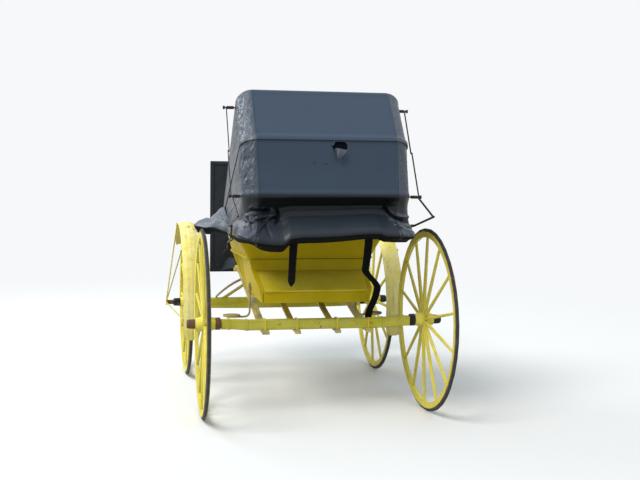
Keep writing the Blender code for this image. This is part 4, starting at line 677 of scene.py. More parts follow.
hides = [leather, creased_lit, lit_flank]
upper = laid_sheet("upper_leather", COLUMNS, ROWS, lambda u, v: upper_rule(panel_columns(u), 1 - v), LEATHER,
                   hood_middle_of, hides)
lower = laid_sheet("lower_leather", COLUMNS, ROWS, lambda u, v: lower_rule(panel_columns(u), v), LEATHER,
                   hood_middle_of, hides)
BACK_Y = -0.268 - MIDDLE


def tear_shape(name, points, depth):
    """A closed flat shape in the plane of the back, thick enough to cut right through the hide."""
    shape = started(name, bpy.ops.mesh.primitive_circle_add, vertices=len(points), radius=1, fill_type="NGON")
    for v, (x, z) in zip(shape.data.vertices, points):
        v.co = (x, BACK_Y, z)
    modified(shape, "wall", "SOLIDIFY", thickness=depth, offset=0.0)
    edited((bpy.ops.mesh.normals_make_consistent, {"inside": False}))
    return shape


torn = [(0.016, 1.690), (0.034, 1.684), (0.046, 1.702), (0.040, 1.712), (0.062, 1.709), (0.088, 1.711),
        (0.112, 1.706), (0.121, 1.690), (0.120, 1.668), (0.108, 1.655), (0.095, 1.661), (0.082, 1.664),
        (0.066, 1.668), (0.050, 1.674), (0.040, 1.664), (0.046, 1.640), (0.036, 1.655), (0.030, 1.676)]
cut_out(lower, tear_shape("tear", torn, 0.12))
for x, z, turn, size in ((-0.083, 1.582, 0.1, 0.010), (-0.013, 1.579, -0.35, 0.015)):
    c, s = math.cos(turn), math.sin(turn)
    slit = [(x + c * a - s * b, z + s * a + c * b) for a, b in
            ((-size, 0.0), (-size * 0.3, -0.0022), (size * 0.5, -0.0016), (size, 0.0), (size * 0.3, 0.0014))]
    cut_out(lower, tear_shape("slit", slit, 0.14))


def flap_rule(u, v):
    """The torn tongue: it hangs from the hole's lower edge and curls outwards."""
    a, b = Vector((0.046, 0, 1.672)), Vector((0.112, 0, 1.660))
    tip = Vector((0.050, 0, 1.606))
    p = a.lerp(b, u).lerp(tip.lerp(Vector((0.060, 0, 1.602)), u), v)
    curl = 0.004 + 0.016 * math.sin(v * 2.4) * (0.5 + 0.5 * u) + 0.004 * math.sin(u * 5)
    p.y = -0.2985 - 0.10 * (1.672 - p.z) * 0.9 - curl + 0.006 - MIDDLE
    return p


flap = laid_sheet("torn_flap", 8, 10, flap_rule, 0.0022, lambda c: c + Vector((0, 1, 0)), [creased_lit])
# Outside the back seams the panels take lighter copies of the hide, the creased one high up and the flank one
# low down: partly painted light.
for panel in (upper, lower):
    for face in panel.data.polygons:
        c = face.center
        reach = math.hypot(c.y - PIVOT_Y, c.z - PIVOT_Z)
        face.material_index = 0 if abs(c.x) < SEAM_X else 1 if reach > 0.6 else 2
print("hole and slits cut, faces of the lower leather:", len(lower.data.polygons))

# %% [markdown]
# A seam is a narrow raised strip of hide with a row of stitches on both sides.  A painted line would vanish
# in a close view, so the strip is laid on the surface and every stitch is a small rounded shape.  The
# stitches of one row are one mesh, because hundreds of separate pieces would be slow.


# %% Seams and their stitches
def along(points, way, name, width, height, finish_of):
    """A narrow raised strip laid on a line of points, where way(p) points out of the surface."""
    count = len(points) - 1

    def rule(u, v):
        i = min(count, round(v * count))
        run = (points[min(count, i + 1)] - points[max(0, i - 1)]).normalized()
        out = way(points[i])
        across = run.cross(out).normalized()
        lift = height * (1 - (2 * u - 1) ** 4)
        return points[i] + across * width * (u - 0.5) + out * lift

    return laid_sheet(name, 6, count, rule, 0.0012, lambda c: c - way(c), finish_of)


def way_near(line, ways):
    """The way out of a surface, as known at the nearest point of a line."""
    return lambda p: ways[min(range(len(line)), key=lambda i: (line[i] - p).length)]


def stitch_row(name, points, way, length=0.0032, radius=0.0006):
    """Short rounded stitches along a line, as one piece."""
    seed = started(name, bpy.ops.mesh.primitive_uv_sphere_add, segments=6, ring_count=4, radius=1)
    shape = [v.co.copy() for v in seed.data.vertices]
    faces = [tuple(f.vertices) for f in seed.data.polygons]
    bpy.data.meshes.remove(seed.data, do_unlink=True)
    verts, polys = [], []
    for a, b in zip(points, points[1:]):
        middle, run = (a + b) / 2, (b - a).normalized()
        out = way(middle)
        across = run.cross(out).normalized()
        base = len(verts)
        verts += [middle + run * p.x * length / 2 + across * p.y * radius + out * p.z * radius for p in shape]
        polys += [tuple(base + k for k in f) for f in faces]
    mesh = bpy.data.meshes.new(name)
    mesh.from_pydata(verts, [], polys)
    mesh.update()
    piece = bpy.data.objects.new(name, mesh)
    bpy.context.scene.collection.objects.link(piece)
    mesh.shade_smooth()
    mesh.materials.append(thread)
    return piece


def thinned(points, step):
    """Points at an even spacing along a line."""
    result, left = [points[0]], step
    for a, b in zip(points, points[1:]):
        gap = (b - a).length
        while gap >= left and gap > 0:
            a = a.lerp(b, left / gap)
            result.append(a)
            gap = (b - a).length
            left = step
        left -= gap
    return result


def out_of_hood(p):
    way = Vector((0, p.y - PIVOT_Y, p.z - PIVOT_Z)).normalized()
    return (way + Vector((math.copysign(1.0, p.x), 0, 0)) * smooth((abs(p.x) - 0.41) / 0.09)).normalized()


thread = finish("thread", lambda t, w: use(t, old_iron, Place=w, Paint=(0.045, 0.045, 0.05, 1), Rusting=0.1))
STITCH = 0.0055
hood_trim = {"upper": [], "lower": []}
for panel, (first, second), t0, t1 in (("upper", ("front", "middle"), 0.02, 0.96),
                                       ("lower", ("middle", "rear"), 0.06, 0.985)):
    for side_name, sign in (("left", -1), ("right", 1)):
        line = [hood_point(first, second, u_at(1.185, sign * SEAM_X), blend(t0, t1, i / 30), LEATHER + 0.0004)
                for i in range(31)]
        trim = hood_trim[panel]
        trim.append(along(line, out_of_hood, f"{panel}_seam_{side_name}", 0.011, 0.0014, [leather]))
        for k, shift in (("a", -0.0038), ("b", 0.0038)):
            row = [p + Vector((shift, 0, 0)) + out_of_hood(p) * 0.0018 for p in line]
            trim.append(stitch_row(f"{panel}_stitches_{side_name}_{k}", thinned(row, STITCH), out_of_hood))
print("seams:", sum(len(v) for v in hood_trim.values()))

# %% [markdown]
# The hood is lined with cloth, which shows from the front and through the torn hole.  The cloth is painted
# near black, painted shade for the inside of the hood.  It runs from bow to bow just inside the hide.

# %% Lining
LINING_GAP = 0.0078


def lining(name, first, second):
    def rule(u, v):
        return hood_point(first, second, blend(0.004, 0.996, u), blend(0.045, 0.955, v), -LINING_GAP, 0.0)
    return laid_sheet(name, 90, 16, rule, 0.0010, hood_middle_of, [shaded_lining_cloth])


upper_lining = lining("upper_lining", "front", "middle")
lower_lining = lining("lower_lining", "middle", "rear")

# %% [markdown]
# When the hood folds, each panel has to follow the bow at either end of it, and the middle bow moves a little
# less than half as far as the front one.  This cell bakes each panel's place into its mesh, hides the frame's
# own hood leather and works out each panel's cut size from its area.

# %% Bake the panels and hide the frame's hood leather
for piece in [upper, upper_lining, *hood_trim["upper"]]:
    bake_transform(piece)
for piece in [lower, lower_lining, flap, *hood_trim["lower"]]:
    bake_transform(piece)
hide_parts("hood_leather_upper")
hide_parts("hood_leather_lower")
for piece, across, down, bows in (
        (upper, 3.0, 0.38, ("front", "middle")), (lower, 3.0, 0.38, ("middle", "rear")),
        (flap, 0.07, 0.07, ("middle", "rear")), (upper_lining, 3.0, 0.34, ("front", "middle")),
        (lower_lining, 3.0, 0.34, ("middle", "rear"))):
    flat_size(piece, across, down)
    [f"hood_bow_{bow}" for bow in bows]

# %% [markdown]
# ## The slack apron
# Below the rear bow the leather is not stretched.  It tucks in under the bow, bulges out over the seat
# and ends in a rolled hem, and its front corners flare out as loose flaps.  Sharp pinched folds run out
# from a point near each rear corner.  It is laid by a rule like the panels, with the folds added as
# ridges that meet in a point, which a cushion-like simulation would round off.

# %% Apron
# Height of the hem at places across the back
HEM_LINE = ((-0.60, 1.112), (-0.500, 1.106), (-0.471, 1.096), (-0.436, 1.080), (-0.400, 1.070),
            (-0.347, 1.060), (-0.280, 1.057), (-0.262, 1.064), (-0.240, 1.097), (-0.174, 1.107),
            (-0.053, 1.110), (0.099, 1.121), (0.227, 1.132), (0.322, 1.129), (0.336, 1.115), (0.60, 1.110))
# How far the hide stands out behind the bow, from the bow (0) down to the hem (1)
PROFILE = ((0.0, 0.0), (0.05, 0.0), (0.143, -0.040), (0.24, -0.074), (0.36, -0.088), (0.46, -0.082),
           (0.56, -0.054), (0.66, -0.015), (0.75, 0.014), (0.82, 0.028), (0.87, 0.031), (0.91, 0.020),
           (0.95, -0.006), (1.0, -0.037))
# Folds of the back: height, half width and the line that each follows in x and z
FOLDS = (
    (-0.022, 0.034, ((-0.403, 1.340), (-0.438, 1.293), (-0.461, 1.264))),
    (0.018, 0.014, ((-0.498, 1.270), (-0.468, 1.235), (-0.440, 1.268))),
    (-0.014, 0.010, ((-0.490, 1.260), (-0.481, 1.231), (-0.461, 1.178))),
    (0.034, 0.026, ((-0.439, 1.256), (-0.380, 1.262), (-0.324, 1.272))),
    (-0.022, 0.020, ((-0.305, 1.300), (-0.290, 1.259), (-0.310, 1.218))),
    (0.018, 0.018, ((-0.321, 1.272), (-0.386, 1.223), (-0.409, 1.206), (-0.456, 1.141))),
    (-0.028, 0.022, ((-0.486, 1.299), (-0.427, 1.292), (-0.357, 1.294))),
    (0.014, 0.012, ((-0.497, 1.297), (-0.470, 1.327))),
    (-0.008, 0.018, ((-0.371, 1.207), (-0.352, 1.148))),
    (-0.012, 0.014, ((-0.535, 1.247), (-0.500, 1.224))),
    (0.014, 0.024, ((-0.566, 1.225), (-0.507, 1.172), (-0.471, 1.148))),
    (-0.024, 0.020, ((0.356, 1.317), (0.432, 1.262), (0.521, 1.214))),
    (0.018, 0.018, ((0.393, 1.304), (0.444, 1.270), (0.488, 1.261), (0.533, 1.261))),
    (0.012, 0.014, ((0.421, 1.220), (0.471, 1.190), (0.516, 1.165))),
    (-0.012, 0.010, ((0.440, 1.196), (0.466, 1.165), (0.498, 1.135))),
    (0.010, 0.014, ((0.476, 1.249), (0.515, 1.206), (0.535, 1.158))),
    (0.007, 0.016, ((0.344, 1.317), (0.393, 1.329), (0.443, 1.353))))
apron_columns = closer((0.0, 0.12, 1.6), (0.305, 0.425, 5.0), (0.425, 0.60, 1.4), (0.60, 0.69, 4.0))


def curve_at(table, x):
    """Value of a table of places and values, rounded a little at its corners."""
    places, values = zip(*table)
    return sum(float(np.interp(x + d, places, values)) for d in (-0.012, -0.005, 0.005, 0.012)) / 4


def folds(x, z):
    """Height of the folds over the hide at a place on the back."""
    total = 0.0
    for height, half, line in FOLDS:
        nearest = 1.0
        for (x0, z0), (x1, z1) in zip(line, line[1:]):
            dx, dz = x1 - x0, z1 - z0
            t = min(1.0, max(0.0, ((x - x0) * dx + (z - z0) * dz) / (dx * dx + dz * dz)))
            nearest = min(nearest, math.hypot(x - x0 - t * dx, z - z0 - t * dz))
        if nearest < half:
            total += height * (1 - nearest / half) ** 1.4
    return total


def apron_rule(u, v):
    """u runs round the back from the left foot, v from the rear bow (0) to the hem (1)."""
    angle, reach = BOWS["rear"]
    x, q = over_bow(reach, u)
    top = spoke_point(angle - math.degrees(0.0003 / q), q, x)
    free = max(0.0, (v - 1 / 7) / (1 - 1 / 7))
    back = smooth((q - (reach - BOW_CORNER * 1.6)) / (BOW_CORNER * 1.6))
    corner = smooth((abs(x) / (HOOD_HALF + BOW_RADIUS) - 0.70) / 0.30)
    normal = Vector((math.copysign(corner, x), -back, 0))
    normal = normal.normalized() if normal.length > 1e-6 else Vector((0, -1, 0))
    drop = max(0.012, top.z - blend(APRON_HEM, curve_at(HEM_LINE, x), back))
    near = smooth((q - 0.30) / 0.35)
    shape = curve_at(PROFILE, v)
    shape *= 1 - corner * 0.72 if shape < 0 and v < 0.7 else 1 + 0.7 * corner
    sides = 0.030 * math.sin(math.pi * min(1.0, max(0.0, (v - 0.5) / 0.55)))
    loose = 1 - smooth((q - LEATHER_START) / 0.34)
    spread = 0.10 * smooth(free / 0.12) + 0.90 * smooth(free)
    left = x < 0
    flare = (0.205 if left else 0.060) * loose * spread * corner
    lobe = 0.120 * smooth(loose * 1.6) * smooth(free / 0.16) * (1 - free) ** 1.15 if left else 0.0
    pleat = 0.006 * math.sin(u * 75.6) * math.sin(math.pi * free) * corner * near
    out = blend(sides * near, shape, back) + pleat + flare
    p = top + normal * out + Vector((0, 0.1 * flare, -drop * v + 0.020 * loose * free + lobe))
    shown = math.sin(math.pi * min(1.0, free * 1.02)) if free < 0.98 else 0.03
    shown = max(0.0, shown) ** 0.6
    wrinkle = uneven(x * 7, v * 2.0, q * 6, 0.008) + uneven(x * 19, v * 6, q * 14, 0.004)
    wrinkle += uneven(x * 45, v * 15, q * 30, 0.0016)
    p += normal * (folds(x, p.z) * back + wrinkle * (0.30 + 0.70 * corner) * near) * shown
    if left and loose > 0:
        flat_out = smooth(loose * 1.5) * smooth(free / 0.2)
        p.z += (uneven(p.x * 9, p.y * 6, 2.0, 0.016) + uneven(p.x * 24, p.y * 14, 5.0, 0.006)
                - 0.010 * bump(free, 0.42, 0.10)) * flat_out
        rolled = smooth((free - 0.86) / 0.14) * smooth((loose - 0.35) / 0.4)
        p += Vector((0.028, 0, -0.022)) * rolled * free
    flutter = math.sin(q * 26) * 0.008 * loose * smooth(free) * corner
    return p + Vector((0, 0, flutter + uneven(x * 3.5, 0, 7.7, 0.006) * free * near))


def middle_of_apron(p):
    return Vector((0, PIVOT_Y - 0.30, p.z))


apron = laid_sheet("apron_leather", 300, 76, lambda u, v: apron_rule(apron_columns(u), v), LEATHER,
                   middle_of_apron, [shaded_slack, creased_lit_slack])
# Outside the back seams the apron takes the lighter creased copy: painted highlight, with real creases.
for face in apron.data.polygons:
    face.material_index = 1 if abs(face.center.x) > SEAM_X else 0
print("apron", [round(v, 3) for v in apron.dimensions])

# %% [markdown]
# The lower rim of the apron is folded over and sewn.  A round tube along the rim would twist at the sharp
# corners, so the hem is laid by a rule as well: it follows the rim and turns once around it.

# %% Rolled hem
HEM_HIGH, HEM_THICK = 0.0095, 0.0042


def hem_rule(u, v):
    """A bound edge, folded round the apron's lower rim."""
    p = apron_rule(u, 1.0)
    inner = apron_rule(u, 0.972)
    up = (inner - p).normalized()
    around = 2 * math.pi * v
    x = math.copysign(1.0, p.x)
    outside = Vector((x * smooth((abs(p.x) - 0.36) / 0.12), -1 + smooth((abs(p.x) - 0.44) / 0.08), 0))
    outside = outside - up * outside.dot(up)
    outside = outside.normalized() if outside.length > 1e-6 else Vector((x, 0, 0))
    full = min(1.0, 30 * (u - 0.004), 30 * (0.996 - u))
    p += up * (0.007 - HEM_HIGH * full * math.cos(around))
    return p + outside * (0.0015 + HEM_THICK * full * math.sin(around))


hem = started("apron_hem", bpy.ops.mesh.primitive_grid_add, x_subdivisions=220, y_subdivisions=10, size=1)
for v in hem.data.vertices:
    v.co = hem_rule(blend(0.004, 0.996, apron_columns(min(1.0, max(0.0, v.co.x + 0.5)))), v.co.y + 0.5)
edited((bpy.ops.mesh.remove_doubles, {"threshold": 0.00005}),
       (bpy.ops.mesh.normals_make_consistent, {"inside": False}))
hem.data.shade_smooth()
hem.data.materials.append(strap_leather)
for piece in (apron, hem):
    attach(piece, "hood_rear")
print("hem", [round(v, 3) for v in hem.dimensions])

# %% [markdown]
# The rim is also faced with a band of black leather, sewn on near its upper edge, and two seams carry on
# from the hood's back seams.  The band's near-black colour is also painted shade where the rim turns under.
# All of these are laid on the outer face of the apron.


# %% Binding and seams of the apron
def out_of_apron(u, v):
    """Which way the outer face of the apron looks at a place."""
    across = apron_rule(min(1.0, u + 0.002), v) - apron_rule(max(0.0, u - 0.002), v)
    down = apron_rule(u, min(1.0, v + 0.01)) - apron_rule(u, max(0.0, v - 0.01))
    return -across.cross(down).normalized()


def on_apron(u, v, lift):
    """A place on the outer face of the apron, a little lifted off it."""
    return apron_rule(u, v) + out_of_apron(u, v) * (LEATHER + lift)


apron_trim = [hem]
for side_name, sign in (("left", -1), ("right", 1)):
    u = u_at(BOWS["rear"][1], sign * SEAM_X)
    places = [(u, blend(0.45, 0.93, i / 40)) for i in range(41)]
    line = [on_apron(*place, 0.0003) for place in places]
    way = way_near(line, [out_of_apron(*place) for place in places])
    row = thinned([p + Vector((0.0034, 0, 0)) + way(p) * 0.0014 for p in line], STITCH)
    apron_trim += [along(line, way, f"apron_seam_{side_name}", 0.009, 0.0012, [shaded_slack]),
                   stitch_row(f"apron_stitches_{side_name}", row, way)]

BINDING = 0.875  # where the binding starts, from the bow (0) to the hem (1)
# The band is near black: black leather, and painted shade where the rim turns under.
apron_trim.append(laid_sheet(
    "apron_binding_and_shade", 300, 8, lambda u, v: on_apron(apron_columns(u), blend(BINDING, 1.0, v), 0.0004), 0.0012,
    middle_of_apron, [strap_leather]))
places = [(apron_columns(i / 300), BINDING + 0.018) for i in range(301)]
line = [on_apron(*place, 0.0017) for place in places]
way = way_near(line, [out_of_apron(*place) for place in places])
apron_trim.append(stitch_row("binding_stitches", thinned(line, 0.0065), way))
for piece in apron_trim[1:]:
    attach(piece, "hood_rear")
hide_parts("hood_apron")
print("apron trim:", len(apron_trim))

# %% [markdown]
# ## Straps
# Two flat straps are sewn under the hem.  One hangs free and ends in a rounded point with a stud, and
# the other runs slack down to the rear axle.  A strap keeps its width and bends only one way, so it is a
# strip laid along a smooth line, with a line of stitches near each edge.

# %% Straps
def hem_at(x):
    """The apron's lower rim at a place across the back."""
    low, high = 0.25, 0.75
    for _ in range(40):
        middle = (low + high) / 2
        low, high = (middle, high) if over_bow(BOWS["rear"][1], middle)[0] < x else (low, middle)
    return apron_rule(low, 1.0)


def left_line(v):
    top = hem_at(-0.205) + Vector((0, 0.004, 0.012))
    return top + Vector((-0.012 * v, 0.006 * math.sin(v * 2.6), -0.268 * v))


def right_line(v):
    top = hem_at(0.255) + Vector((0, 0.004, 0.012))
    x = blend(top.x, 0.330, smooth((v - 0.38) / 0.25))
    x += 0.022 * math.sin(math.pi * min(1, max(0, (v - 0.40) / 0.50)))
    return Vector((x, blend(top.y, -0.010 - MIDDLE, v ** 1.4), blend(top.z, 0.6098, v)))


STRAP_HALF = 0.0245


def strap_rule(line, pointed):
    """A strip on a line, a little narrower down its length and crowned across."""
    def rule(u, v):
        ahead = line(min(1.0, v + 0.004)) - line(max(0.0, v - 0.004))
        facing = Vector((0, ahead.z, -ahead.y)).normalized()
        wide = STRAP_HALF * (1 - 0.10 * smooth(v * 1.6))
        if pointed:
            wide *= math.sqrt(max(0.0025, 1 - smooth((v - 0.84) / 0.16) ** 1.6))
        return line(v) + Vector((wide * (2 * u - 1), 0, 0)) + facing * 0.0012 * (1 - (2 * u - 1) ** 2)
    return rule


BACKWARDS = Vector((0, -1, 0))


def make_strap(name, line, pointed, node, rows):
    rule = strap_rule(line, pointed)
    strap = laid_sheet(name, 8, rows, rule, 0.0034, lambda c: c - BACKWARDS, [strap_leather], 50)
    trim = []
    for k, u in (("a", 0.12), ("b", 0.88)):
        row = [rule(u, 0.05 + 0.86 * i / 60) + BACKWARDS * 0.0036 for i in range(61)]
        trim.append(stitch_row(f"{name}_stitches_{k}", thinned(row, 0.006), lambda p: BACKWARDS,
                               0.0036, 0.0005))
    for piece in (strap, *trim):
        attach(piece, "hood_rear")
    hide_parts(node)
    length = sum((line((i + 1) / 60) - line(i / 60)).length for i in range(60))
    return strap


left_strap = make_strap("left_strap", left_line, True, "strap_left", 70)
right_strap = make_strap("right_strap", right_line, False, "strap_right", 90)


def placed(piece, at, facing, flatter=1.0):
    """Turn a shape made upright so that it stands on a face."""
    turn = facing.to_track_quat("Z", "Y").to_matrix().to_4x4()
    piece.data.transform(Matrix.Translation(at) @ turn @ Matrix.Diagonal((1, 1, flatter, 1)))


def stud(name, at, facing, radius, finish_of, body):
    """A low domed rivet head."""
    head = started(name, bpy.ops.mesh.primitive_uv_sphere_add, segments=12, ring_count=8, radius=radius)
    placed(head, at, facing, 0.5)
    head.data.shade_smooth()
    head.data.materials.append(finish_of)
    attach(head, body)


stud("left_strap_stud", left_line(0.87) + BACKWARDS * 0.0046, BACKWARDS, 0.0036, black_iron, "hood_rear")
for label, x in (("left", -0.196), ("right", 0.262)):
    at = hem_at(x) + Vector((0, -0.0062, 0.016))
    stud(f"hem_rivet_{label}", at, Vector((0, -1, -0.3)), 0.0030, rusty_iron, "hood_rear")
print("straps", left_strap.name, right_strap.name)

# %% [markdown]
# ## Cushions
# The cushion and the backrest are stuffed leather.  Each starts from the frame's plain pad, is made a
# little smaller, and is blown up as cloth so that its faces crown and its edges draw in.  Buttons are then
# pulled down into the leather.

# %% Cushions
SWELL = 0.010  # the most that a pad's leather moves, and the depth of its buttons
BUTTON = 0.0085


def stuffed(node, name, buttons, normal):
    """A pad swollen by a short cloth run from the frame's solid."""
    pad = nodes[node].copy()
    pad.data = nodes[node].data.copy()
    bpy.context.scene.collection.objects.link(pad)
    pad.data.transform(pad.matrix_world)
    pad.parent = None
    pad.matrix_world = Matrix.Identity(4)
    pad.name = pad.data.name = name
    alone(pad)
    middle = sum((v.co for v in pad.data.vertices), Vector()) / len(pad.data.vertices)
    pad.data.transform(Matrix.Translation(middle) @ Matrix.Scale(0.972, 4) @ Matrix.Translation(-middle))
    edited((bpy.ops.mesh.remove_doubles, {"threshold": 0.0001}))
    pad.data.remesh_voxel_size = 0.009
    bpy.ops.object.voxel_remesh()
    start = [v.co.copy() for v in pad.data.vertices]
    cloth = pad.modifiers.new("stuffing", "CLOTH")
    cloth.settings.use_pressure = True
    cloth.settings.uniform_pressure_force = 4.0
    cloth.settings.effector_weights.gravity = 0.0
    for frame_number in range(1, 21):
        bpy.context.scene.frame_set(frame_number)
    bpy.ops.object.modifier_apply(modifier=cloth.name)
    bpy.context.scene.frame_set(1)
    low = min(v.z for v in start)
    for v, old in zip(pad.data.vertices, start):
        move = v.co - old
        if move.length > SWELL:
            move = move.normalized() * SWELL
        v.co = old + move
        for at in buttons:
            off = v.co - at
            flat_off = off - normal * off.dot(normal)
            if off.dot(normal) > -0.05:
                v.co -= normal * SWELL * math.exp(-(flat_off.length / 0.020) ** 2)
        v.co.z = max(v.co.z, low)
    modified(pad, "finer", "SUBSURF", levels=1, render_levels=1)
    pad.data.shade_smooth()
    pad.data.materials.clear()
    pad.data.materials.append(seat_leather)
    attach(pad, "carriage")
    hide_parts(node)
    print(name, len(pad.data.polygons), [round(v, 3) for v in pad.dimensions])


def box_of(node):
    places = [nodes[node].matrix_world @ v.co for v in nodes[node].data.vertices]
    return [Vector([f(p[k] for p in places) for k in range(3)]) for f in (min, max)]


def spread(place):
    """The eight places of a pad's buttons, from numbers that run 0 to 1 across and along it."""
    return [place((i + 0.5) / 4, (j + 0.5) / 2) for i in range(4) for j in range(2)]


low, high = box_of("seat_cushion")
spots = spread(lambda a, b: Vector((blend(low.x, high.x, a), blend(low.y, high.y, b), high.z - 0.012)))
upwards = Vector((0, 0, 1))
stuffed("seat_cushion", "seat_cushion_leather", spots, upwards)
for n, at in enumerate(spots):
    stud(f"cushion_button_{n}", at - upwards * 0.0035, upwards, BUTTON, seat_leather, "carriage")
lean = math.radians(12)
up_back = Vector((0, -math.sin(lean), math.cos(lean)))
facing = Vector((0, math.cos(lean), math.sin(lean)))
foot = Vector((0, SEAT_BACK_Y + 0.0123, SEAT_TOP))
spots = spread(lambda a, b: foot + up_back * 0.33 * b + facing * 0.068 + Vector((0.68 * (a - 0.5), 0, 0)))
stuffed("seat_back", "backrest_leather", spots, facing)
for n, at in enumerate(spots):
    stud(f"backrest_button_{n}", at - facing * 0.0035, facing, BUTTON, seat_leather, "carriage")

# %% [markdown]
# ## Finishes for the frame
# The frame's own solids keep their shapes.  Each gets the finish of what it is made of: painted wood
# and iron, bare rusty iron, rubber, or leather over a board.

# %% Rubber tyre in its rusty channel
rubber_group, given, gives = group(
    "Old rubber", [("Place", "Vector", 0), ("Height of axle", "Float", 0.5), ("Along", "Float", 0.0),
                   ("Channel radius", "Float", 0.5)],
    [("Colour", "Color"), ("Roughness", "Float"), ("Height", "Float")])
g, here = rubber_group, given["Place"]
parts_of = add(g, "ShaderNodeSeparateXYZ", {0: here}).outputs
dy = minus(g, parts_of["Y"], given["Along"])
dz = minus(g, parts_of["Z"], given["Height of axle"])
radius = maths(g, "SQRT", plus(g, times(g, dy, dy), times(g, dz, dz)))
wobble = times(g, minus(g, grain(g, here, 14.0), 0.5), 0.0030)
past = minus(g, plus(g, radius, wobble), given["Channel radius"])
channel = span(g, past, 0.0012, 0.0)
worn = span(g, grain(g, here, 30.0, 6.0, 0.7), 0.48, 0.75)
rubber_colour = tint(g, worn, (0.018, 0.020, 0.023, 1), (0.075, 0.075, 0.072, 1))
rusted = span(g, grain(g, here, 60.0, 4.0), 0.4, 0.65)
rust_colour = tint(g, rusted, (0.20, 0.105, 0.085, 1), (0.085, 0.045, 0.035, 1))
g.links.new(tint(g, channel, rubber_colour, rust_colour), gives["Colour"])
g.links.new(plus(g, 0.62, times(g, grain(g, here, 20.0), 0.3)), gives["Roughness"])
g.links.new(grain(g, here, 130.0, 4.0, 0.7), gives["Height"])
print("rubber ready")

# %% [markdown]
# Every solid of the frame is named after what it is.  Picking a finish for each one by hand invites
# mistakes, so a table says which beginning of a name gets which finish.

# %% Dress the nodes
WHEELS = {"rear": (-MIDDLE, 0.5842), "front": (1.320 - MIDDLE, 0.5334)}  # place along and height of the axles
CHANNEL = 0.0130  # how far in from the tread the rusty channel starts


def dress(node, m):
    nodes[node].data.materials.clear()
    nodes[node].data.materials.append(m)


for end, (along_y, height) in WHEELS.items():
    m = finish(f"{end}_rubber", lambda t, w: use(t, rubber_group, Place=w, Height_of_axle=height,
               Along=along_y, Channel_radius=height - CHANNEL), 0.001, 0.5)
    for side_name in ("left", "right"):
        wheel = f"{end}_{side_name}"
        dress(f"{wheel}_tyre", m)
        dress(f"{wheel}_wheel", wheel_paint)
        dress(f"{wheel}_axle_box", rusty_iron if wheel == "rear_left" else black_iron)
DRESS = (
    (slat_finish, "slat_"), (black_iron, "hood_bow", "hood_pivot", "upper_iron", "lower_iron", "lamp_ring"),
    (bed_paint, "rear_axle_bed", "front_axle_bed"), (tread_finish, "step"),
    (gear_paint, "rear_clip", "turning", "head_block", "mudguard_stay"),
    (rusty_iron, "rear_axle_iron", "front_axle_iron"), (guard_paint, "mudguard_left", "mudguard_right"),
    (body_paint, "body_box", "seat_panels"), (lit_lid_paint, "boot_lid"), (dash_leather, "dash"),
    (spring_finish, "front_spring"))
for m, *starts in DRESS:
    for name in nodes:
        if name.startswith(tuple(starts)):
            dress(name, m)
print("nodes dressed:", len(nodes))

# %% [markdown]
# ## Small fittings
# Bolts, screws, bands and joints are too small for the frame.  Each is placed by a ray that finds the
# face it sits on, so it touches the wood wherever the frame puts it.

# %% Fittings
TO_FRONT, TO_BACK = (0, 1, 0), (0, -1, 0)


def face_at(node, start, towards):
    """Where a ray meets a node of the frame, and which way the face looks."""
    piece = nodes[node]
    back = piece.matrix_world.inverted()
    way = (back.to_3x3() @ Vector(towards)).normalized()
    found, place, normal, _ = piece.ray_cast(back @ Vector(start), way)
    if not found:
        raise ValueError(f"nothing of {node} at {start}")
    return piece.matrix_world @ place, (piece.matrix_world.to_3x3() @ normal).normalized()


def bolt(name, node, start, radius, height, finish_of, sides=6):
    """A bolt head or nut on a face: a prism with a chamfered rim."""
    place, facing = face_at(node, start, TO_FRONT)
    head = started(name, bpy.ops.mesh.primitive_cylinder_add, vertices=sides, radius=radius,
                   depth=height + 0.002)
    chamfer = {"offset": min(radius, height) * 0.28, "segments": 2, "affect": "EDGES"}
    edited((bpy.ops.mesh.bevel, chamfer))
    placed(head, place + facing * (height / 2 - 0.001), facing)
    bpy.ops.object.shade_smooth_by_angle(angle=math.radians(35))
    head.data.materials.append(finish_of)
    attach(head, "carriage")


def band(name, node, x, width, finish_of):
    """A thin iron band round a bar that runs across."""
    low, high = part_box(node)
    middle = Vector((x, (low[1] + high[1]) / 2, (low[2] + high[2]) / 2))
    back = face_at(node, (x, low[1] - 0.1, middle.z), TO_FRONT)[0].y
    front = face_at(node, (x, high[1] + 0.1, middle.z), TO_BACK)[0].y
    top = face_at(node, (x, middle.y, high[2] + 0.1), (0, 0, -1))[0].z
    foot = face_at(node, (x, middle.y, low[2] - 0.1), (0, 0, 1))[0].z
    wide, tall = front - back + 0.0006, top - foot + 0.0006
    centre = Vector((x, (front + back) / 2, (top + foot) / 2))
    ring = started(name, bpy.ops.mesh.primitive_cube_add, size=1)
    for v in ring.data.vertices:
        v.co = Vector((v.co.x * width, v.co.y * wide, v.co.z * tall)) + centre
    ring.data.update()
    bpy.ops.object.mode_set(mode="EDIT")
    bpy.ops.mesh.select_mode(type="FACE")
    bpy.ops.mesh.select_all(action="DESELECT")
    bpy.ops.object.mode_set(mode="OBJECT")
    for face in ring.data.polygons:
        face.select = abs(face.normal.x) > 0.9
    bpy.ops.object.mode_set(mode="EDIT")
    bpy.ops.mesh.delete(type="FACE")
    bpy.ops.mesh.select_mode(type="VERT")
    bpy.ops.object.mode_set(mode="OBJECT")
    modified(ring, "wall", "SOLIDIFY", thickness=0.0024, offset=1.0, use_even_offset=True)
    modified(ring, "rim", "BEVEL", width=0.0006, segments=2)
    ring.data.materials.append(finish_of)
    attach(ring, "carriage")


def scored(name, node, points, width):
    """A thin dark line of shadow where two boards meet."""
    faces = [face_at(node, start, TO_FRONT) for start in points]
    line = [place + facing * 0.0002 for place, facing in faces]
    way = way_near(line, [facing for _, facing in faces])
    piece = along(line, way, name, width, 0.0002, [joint_shadow])
    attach(piece, "carriage")


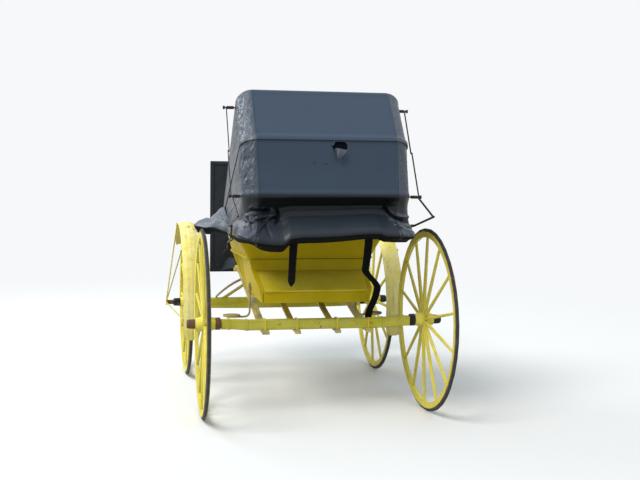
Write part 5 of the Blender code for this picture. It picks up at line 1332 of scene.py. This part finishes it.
joint_shadow = paint_finish("joint_shadow", (0.035, 0.025, 0.006), (0.06, 0.045, 0.012), 0.5, 0.2, 0.3,
                            Specular_IOR_Level=0.05)
BEHIND, BEHIND_BOX, BEHIND_SEAT = -MIDDLE - 0.5, -MIDDLE - 0.3, -MIDDLE - 0.2
for n, x in enumerate((-0.247, 0.001, 0.250)):
    bolt(f"bed_washer_{n}", "rear_axle_bed", (x, BEHIND, 0.586), 0.0135, 0.0025, bed_paint, 14)
    bolt(f"bed_bolt_{n}", "rear_axle_bed", (x, BEHIND, 0.586), 0.0085, 0.0095, gear_paint)
for n, x in enumerate((-0.556, -0.444, 0.4305, 0.5336)):
    band(f"bed_band_{n}", "rear_axle_bed", x, 0.014, bed_paint)
for n, z in enumerate((0.7467, 0.7273, 0.7079)):
    bolt(f"box_screw_{n}", "body_box", (0.3355, BEHIND_BOX, z), 0.0028, 0.0008, black_iron, 10)
scored("panel_joint", "seat_panels",
       [(blend(-0.385, 0.372, i / 40), BEHIND_SEAT, 0.9592) for i in range(41)], 0.0022)
scored("board_end", "body_box", [(-0.3372, BEHIND_BOX, blend(0.706, 0.766, i / 6)) for i in range(7)], 0.0014)
for side_name, sign in (("left", -1), ("right", 1)):
    bolt(f"dash_bolt_{side_name}", "dash", (sign * 0.440, 0.45, 0.765), 0.0075, 0.006, rusty_iron)
print("fittings on the bed, the box and the seat")

# %% [markdown]
# The dash is bound with a strip of leather along its two sides and its top, in front and behind, with a
# line of stitches near the inner edge.

# %% Binding of the dash
# Name, the two ends in x and z, and which way the middle of the dash lies
DASH_SIDES = (("left", (-0.4885, 0.815), (-0.4885, 1.546), (1, 0, 0)),
              ("top", (-0.5005, 1.5595), (0.5005, 1.5595), (0, 0, -1)),
              ("right", (0.4885, 0.815), (0.4885, 1.546), (-1, 0, 0)))
for label, start, towards in (("rear", 0.40, TO_FRONT), ("front", 1.60, TO_BACK)):
    for side_name, (x0, z0), (x1, z1), inwards in DASH_SIDES:
        spots = [face_at("dash", (blend(x0, x1, i / 24), start, blend(z0, z1, i / 24)), towards)
                 for i in range(25)]
        facing = spots[12][1]
        line = [place + facing * 0.0002 for place, _ in spots]
        strip = along(line, lambda p: facing, f"dash_binding_{label}_{side_name}", 0.027, 0.0018,
                      [dash_leather])
        sewn = [place + Vector(inwards) * 0.0095 + facing * 0.0030 for place, _ in spots]
        row = stitch_row(f"dash_stitches_{label}_{side_name}", thinned(sewn, 0.0065), lambda p: facing)
        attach(strip, "carriage")
        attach(row, "carriage")
print("dash bound on both faces")
